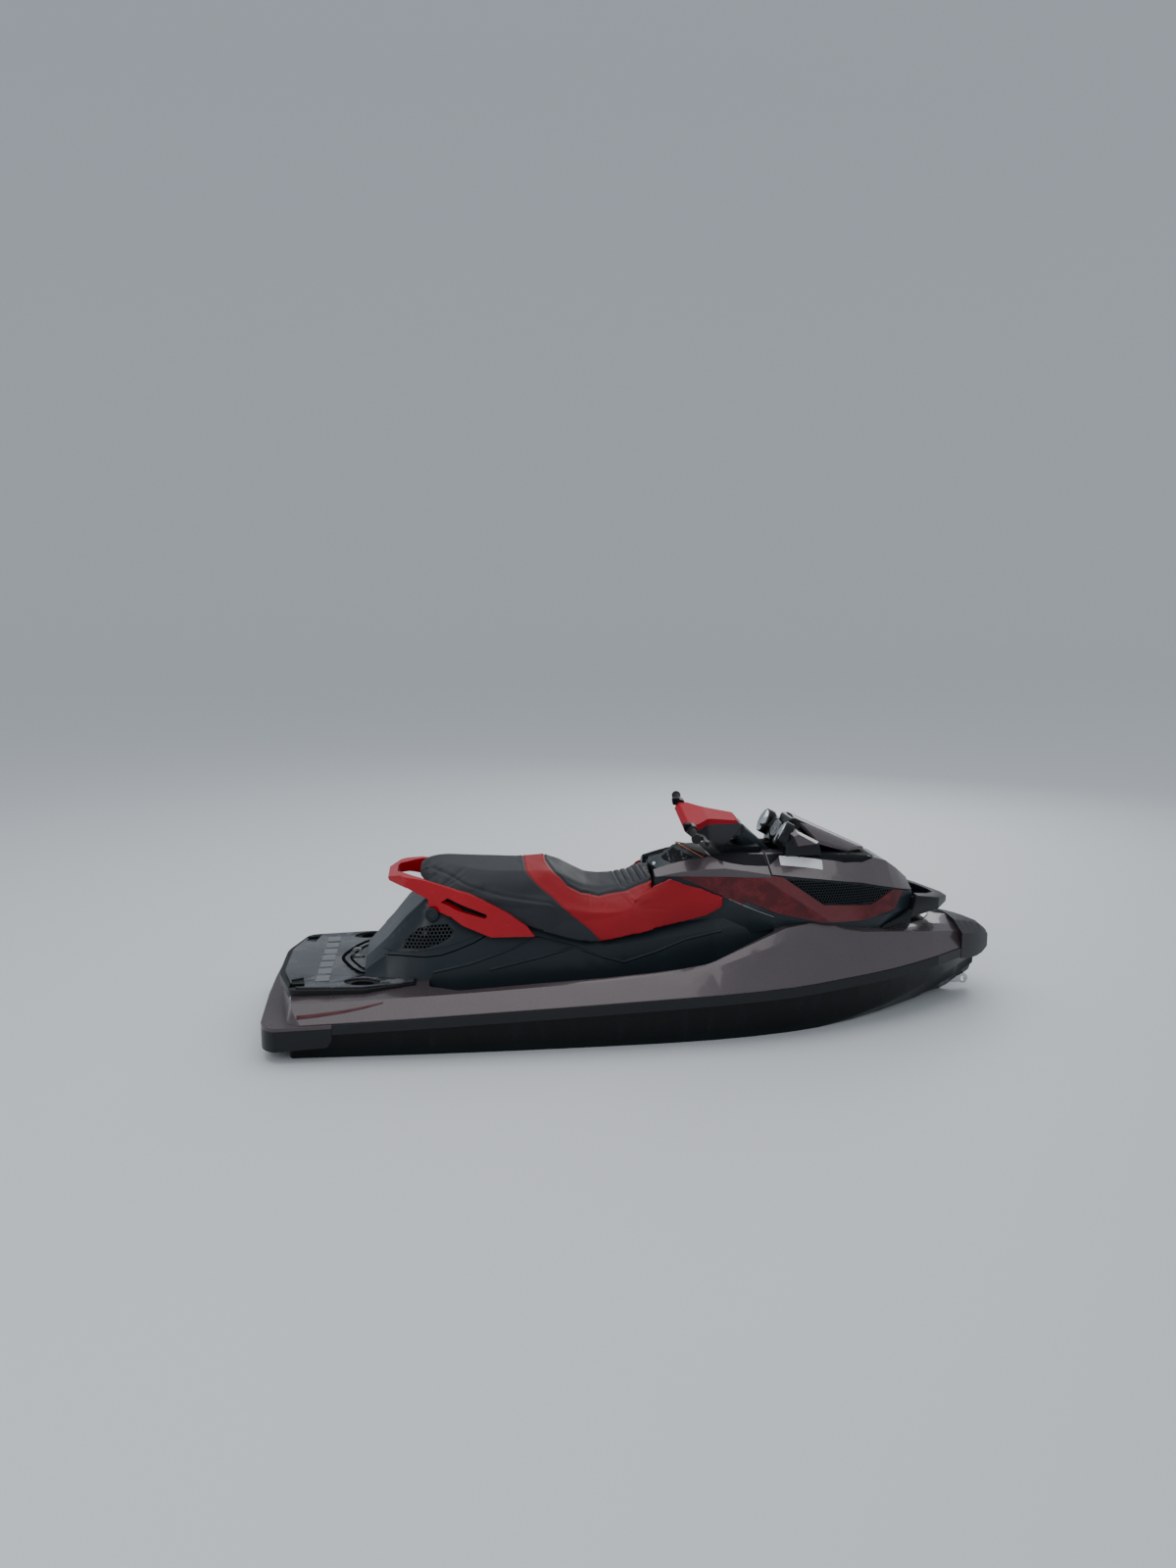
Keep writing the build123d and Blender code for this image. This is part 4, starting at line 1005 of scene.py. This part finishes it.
class WATERCRAFT_OT_footing(bpy.types.Operator):
    """Adds the stern platform's squares, its slots and recesses with painted shade laid in them, its rims, and
    the ribs of the footwell mats
    """
    bl_idname = "watercraft.footing"
    bl_label = "Platform and mats"

    def execute(self, context):
        blocks = [rounded_block(BLOCK, 0.0022, place) for place in BLOCKS]
        finished(joined(blocks), "platform_blocks", "pad_block", "craft")
        pad = merged_copy("platform_pad")
        for side, tag in SIDES:
            for opening, outline in (("slot", SLOT), ("recess", RECESS)):
                place = to_side(outline, side)
                cut_away(pad, prism(place, 0.27, 0.3))
                # A matt black floor laid in each slot and recess is painted shade of its depth
                floor = panel([place], shell("deck"), 0, 0.0015, 0.001, 0.012)
                finished(floor, f"platform_{opening}_{tag}", "matt_black", "craft")
        eased(pad, 0.002, 36)
        finished(pad, "platform_pad_shell", "wet_pad", replaces=("platform_pad",))
        for side, tag in SIDES:
            for number, path in enumerate(U_TRIMS):
                places = [(x, -side * y, PAD_TOP) for x, y in path]
                bead(f"platform_trim_{number}_{tag}", "shade_and_trim_black", "craft", places, 0.008 - 0.002 * number)
            ribs = [rounded_block(MAT_RIB, 0.0025, place) for place in to_side(MAT_RIBS, -side)]
            finished(joined(ribs), "mat_ribs_" + tag, "mat", "craft")
        return {"FINISHED"}


# Bar ends, gauge and lid
STEER_REST = math.radians(-6.4)
BAR = Vector((0.205, 0, 0.934))
GRIP_START = 0.262
GRIP_STATIONS = [(0, 0.020), (0.002, 0.024), (0.008, 0.024), (0.010, 0.0175)]
GRIP_RIBS = [(0.010 + i * 0.008 + along, radius) for i in range(14)
             for along, radius in ((0.002, 0.0175), (0.003, 0.0162), (0.006, 0.0162), (0.007, 0.0175))]
GRIP_END = [(0.126, 0.0175), (0.128, 0.0225), (0.137, 0.0225), (0.139, 0.020)]
# Place off the bar's middle and size of each block in the port switch cluster
SWITCHES = (((-0.020, 0.236, 0.012), (0.034, 0.040, 0.034)), ((-0.034, 0.226, 0.020), (0.012, 0.012, 0.010)),
            ((-0.034, 0.244, 0.016), (0.012, 0.010, 0.016)), ((0.006, 0.236, -0.018), (0.030, 0.034, 0.026)))
GAUGE_AT = Vector((0.655, 0, 0.8672))
GAUGE_LEAN = math.radians(-68)
GAUGE_RIM, MARK_RING = (0.0405, 0.0605), (0.031, 0.049)     # half height and half width of each ellipse
COPPER_LINE = [(0.154, -0.003, 0.807), (0.259, -0.146, 0.7615)]
LATCH_AT = (0.038, -0.054, 0.7165)
LID_PLATE = [(0.076, -0.030, 0.005), (0.138, -0.012, 0.005), (0.218, -0.126, 0.005), (0.118, -0.132, 0.005)]
PEAK = [(0.162, 0, 0.798), (0.268, -0.152, 0.756), (0.292, -0.158, 0.767), (0.292, 0, 0.771)]


def steered():
    """The turn that takes a place on the straight bar to the bar as it stands."""
    joint = next(j for j in frame["record"]["behaviour"]["joints"] if j["name"] == "steering_turn")
    pivot = Matrix.Translation(joint["pos_m"])
    return pivot @ Matrix.Rotation(STEER_REST, 4, Vector(joint["axis"])) @ pivot.inverted()


class WATERCRAFT_OT_controls(bpy.types.Operator):
    """Makes the grips, switch clusters and gauge details, the lid's lines, plates and latch, and the peaks"""
    bl_idname = "watercraft.controls"
    bl_label = "Controls and gauge"

    def execute(self, context):
        grips = []
        for side, tag in SIDES:
            grip = turned([*GRIP_STATIONS, *GRIP_RIBS, *GRIP_END], 40)
            along = Matrix.Rotation(-side * math.pi / 2, 4, "X")
            grip.matrix_world = steered() @ Matrix.Translation(BAR + Vector((0, side * GRIP_START, 0))) @ along
            grips.append(grip)
            parts = []
            for (x, y, z), size in SWITCHES:
                part = rounded_block(size, 0.003)
                part.matrix_world = steered() @ Matrix.Translation(BAR + Vector((x, side * y, z)))
                parts.append(part)
            finished(joined(parts), "switch_cluster_" + tag, "matt_black", "handlebar")
        both = joined(grips)
        smooth(both, 35)
        finished(both, "ribbed_grips", "grip", replaces=("grips",))

        tilted = Matrix.Translation(GAUGE_AT) @ Matrix.Rotation(GAUGE_LEAN, 4, "Y")
        rim = [tilted @ on_ellipse(GAUGE_RIM, i * math.pi / 20, 0.001) for i in range(41)]
        bead("gauge_rim", "gloss_black", "hood", rim, 0.0025)
        marks = []
        for degrees in range(-120, 121, 24):
            turn = math.radians(degrees)
            mark = rounded_block((0.006, 0.0016, 0.0008), 0.0003, segments=2)
            place = Matrix.Translation(on_ellipse(MARK_RING, turn, 0.0012))
            mark.matrix_world = tilted @ place @ Matrix.Rotation(turn, 4, "Z")
            marks.append(mark)
        finished(joined(marks), "gauge_marks", "plate", "hood")
        display = rounded_block((0.026, 0.048, 0.001), 0.0004)
        display.matrix_world = tilted @ Matrix.Translation((-0.006, 0, 0.0008))
        finished(display, "gauge_display", "display", "hood")

        for side, tag in SIDES:
            bead("lid_line_" + tag, "copper", "glovebox_lid", to_side(COPPER_LINE, side), 0.003)
            outline = rounded(to_side(LID_PLATE, side))
            bare = panel([outline], shell("glovebox_lid"), 0, 0.0012, 0.001, 0.02)
            finished(bare, "lid_plate_" + tag, "matt_black", "glovebox_lid")
            peak = facet(to_side(PEAK, side), 0.003)
            finished(peak, "cowl_peak_" + tag, "peak_maroon", "craft")
        latch = rounded_block((0.014, 0.034, 0.010), 0.002)
        latch.rotation_euler = (0, 0, math.radians(-12))
        latch.location = LATCH_AT
        finished(latch, "lid_latch", "plate", "glovebox_lid")
        return {"FINISHED"}


# Plates and trims, starboard side, or the starboard half of those across the middle
PLATE = [(0.622, -0.184, 0.006), (0.827, -0.212, 0.006), (0.817, -0.262, 0.006), (0.616, -0.240, 0.006)]
GROOVE = [(-1.650, 0.186), (-1.532, 0.196), (-1.422, 0.208), (-1.339, 0.221), (-1.250, 0.239),
          (-1.252, 0.243), (-1.339, 0.229), (-1.422, 0.218), (-1.532, 0.208), (-1.642, 0.200)]
FAIRING_TAIL = [(0.117, 0.686), (0.179, 0.667), (0.262, 0.629), (0.355, 0.589), (0.419, 0.565),
                (0.450, 0.600), (0.350, 0.650),(0.250, 0.684), (0.180, 0.687)]
# Side view of the fairing's lower edge, along which a pale line is painted as its highlight
LOWER_EDGE = [(0.358, 0.587), (0.449, 0.552), (0.528, 0.525), (0.556, 0.516)]
BOW_FLOOR = [(1.175, 0.250), (1.245, 0.232), (1.390, 0.114), (1.455, 0.026)]
COWL_BLACK = [(0.294, -0.150), (0.330, -0.190), (0.377, -0.213), (0.441, -0.234), (0.507, -0.240),
              (0.551, -0.241), (0.551, -0.102), (0.456, -0.102)]
HOOD_BLACK = [(0.704, -0.102), (0.565, -0.102), (0.565, -0.236), (0.623, -0.186), (0.718, -0.200),
              (0.833, -0.206), (0.941, -0.208), (1.037, -0.185), (1.100, -0.150), (1.125, -0.100)]
# Name, half outline, node under it, finish, body and thickness
BLACK_TRIMS = (("bow_loop_floor", BOW_FLOOR, "deck", "gloss_black", "craft", 0.003),
               ("cowl_trim", COWL_BLACK, "cowl", "matt_black", "craft", 0.0015),
               ("hood_trim", HOOD_BLACK, "hood", "matt_black", "hood", 0.0015))


class WATERCRAFT_OT_trim(bpy.types.Operator):
    """Adds the blank plates, painted grooves, fairing tails, painted highlights along edges and black trims"""
    bl_idname = "watercraft.trim"
    bl_label = "Plates and lines"

    def execute(self, context):
        for side, tag in SIDES:
            outline = rounded(to_side(PLATE, side))
            finished(panel([outline], shell("hood"), 0, 0.0015, 0.0012), "plate_" + tag, "plate", "hood")
            groove = panel([GROOVE], shell("deck"), side, 0.001, 0.0006)
            finished(groove, "deck_groove_" + tag, "groove_red", "craft")
            tail = panel([FAIRING_TAIL], shell("front_body"), side, 0.006, 0.0035)
            finished(tail, "fairing_tail_" + tag, "fairing_red", "craft")
            # A pale bead along the fairing's lower edge is a painted highlight of that edge
            line_on("fairing_edge_highlight_" + tag, "painted_edge_highlight", "craft", LOWER_EDGE, shell("front_body"), side,
                    0.002, 0.001)
        for name, half, target, slot, body, thick in BLACK_TRIMS:
            outline = half + to_side(half[::-1], 1)
            finished(panel([outline], shell(target), 0, thick, thick * 0.7), name, slot, body)
        return {"FINISHED"}


CAMERA_AT = (-0.964, -5.526, 2.053)
CAMERA_WAY = (0.1215, 0.9783, -0.1679)
CAMERA_LENS = 26.95
SKY_COLOR, SKY_STRENGTH = (0.80, 0.86, 0.93, 1), 0.62
# Name, place, size and power of each light, which all face one point
LAMPS = (("overhead softbox", (-0.6, 1.2, 6.0), 8.0, 200),
         ("side softbox", (-4.0, -6.0, 4.2), 3.0, 95),
         ("back softbox", (2.8, 5.0, 3.6), 3.5, 80))
LAMPS_FACE = Vector((0, 0, 0.4))


class WATERCRAFT_OT_stage(bpy.types.Operator):
    """Lays the pale floor, hangs the soft lights and sets the camera"""
    bl_idname = "watercraft.stage"
    bl_label = "Stage"

    def execute(self, context):
        scene = context.scene
        floor = added(bpy.ops.mesh.primitive_plane_add, size=80)
        floor.name = "floor"
        for part in (*floor.data.polygons, *floor.data.edges, *floor.data.vertices):
            part.select = False
        for point in floor.data.vertices:
            point.select = point.co.y > 0
        edit(floor)
        bpy.ops.mesh.select_mode(type="VERT")
        bpy.ops.mesh.extrude_region_move(TRANSFORM_OT_translate={"value": (0, 0, 30)})
        done()
        modify(floor, "BEVEL", width=20, segments=32, limit_method="ANGLE")
        only(floor)
        bpy.ops.object.shade_smooth()
        pale = Finish("pale floor", (0.72, 0.74, 0.76), 0.6)
        pale.feed("Roughness", pale.noise(3, 2) * 0.1 + 0.55)
        floor.data.materials.append(pale.material)

        camera = bpy.data.cameras.new("photo camera")
        camera.lens = CAMERA_LENS
        camera.clip_end = 200
        eye = bpy.data.objects.new("photo camera", camera)
        scene.collection.objects.link(eye)
        eye.location = CAMERA_AT
        eye.rotation_mode = "QUATERNION"
        eye.rotation_quaternion = Vector(CAMERA_WAY).to_track_quat("-Z", "Y")
        scene.camera = eye

        world = bpy.data.worlds.new("soft sky")
        world.use_nodes = True
        world.node_tree.nodes["Background"].inputs["Color"].default_value = SKY_COLOR
        world.node_tree.nodes["Background"].inputs["Strength"].default_value = SKY_STRENGTH
        scene.world = world
        for name, at, size, power in LAMPS:
            bpy.ops.object.light_add(type="AREA", location=at)
            lamp = context.object
            lamp.name = name
            lamp.data.size = size
            lamp.data.energy = power
            lamp.rotation_mode = "QUATERNION"
            lamp.rotation_quaternion = (LAMPS_FACE - Vector(at)).to_track_quat("-Z", "Y")
        return {"FINISHED"}


class WATERCRAFT_PT_panel(bpy.types.Panel):
    """Lists the sizes and the pieces"""
    bl_idname = "WATERCRAFT_PT_panel"
    bl_label = "Watercraft"
    bl_space_type = "VIEW_3D"
    bl_region_type = "UI"
    bl_category = "Watercraft"

    def draw(self, context):
        look = context.scene.watercraft_look
        for prop in ("deck_color", "side_color", "fairing_color", "handle_color", "edge"):
            self.layout.prop(look, prop)
        for operator in OPERATORS:
            self.layout.operator(operator.bl_idname)


OPERATORS = (WATERCRAFT_OT_finishes, WATERCRAFT_OT_panels, WATERCRAFT_OT_seat, WATERCRAFT_OT_grilles,
             WATERCRAFT_OT_footing, WATERCRAFT_OT_controls, WATERCRAFT_OT_trim, WATERCRAFT_OT_stage)


def register():
    for item in (WatercraftLook, *OPERATORS, WATERCRAFT_PT_panel):
        bpy.utils.register_class(item)
    bpy.types.Scene.watercraft_look = bpy.props.PointerProperty(type=WatercraftLook)


def unregister():
    del bpy.types.Scene.watercraft_look
    for item in (WATERCRAFT_PT_panel, *reversed(OPERATORS), WatercraftLook):
        bpy.utils.unregister_class(item)


def main():
    register()
    for operator in OPERATORS:
        family, action = operator.bl_idname.split(".")
        getattr(getattr(bpy.ops, family), action)()


if __name__ == "__main__":
    main()
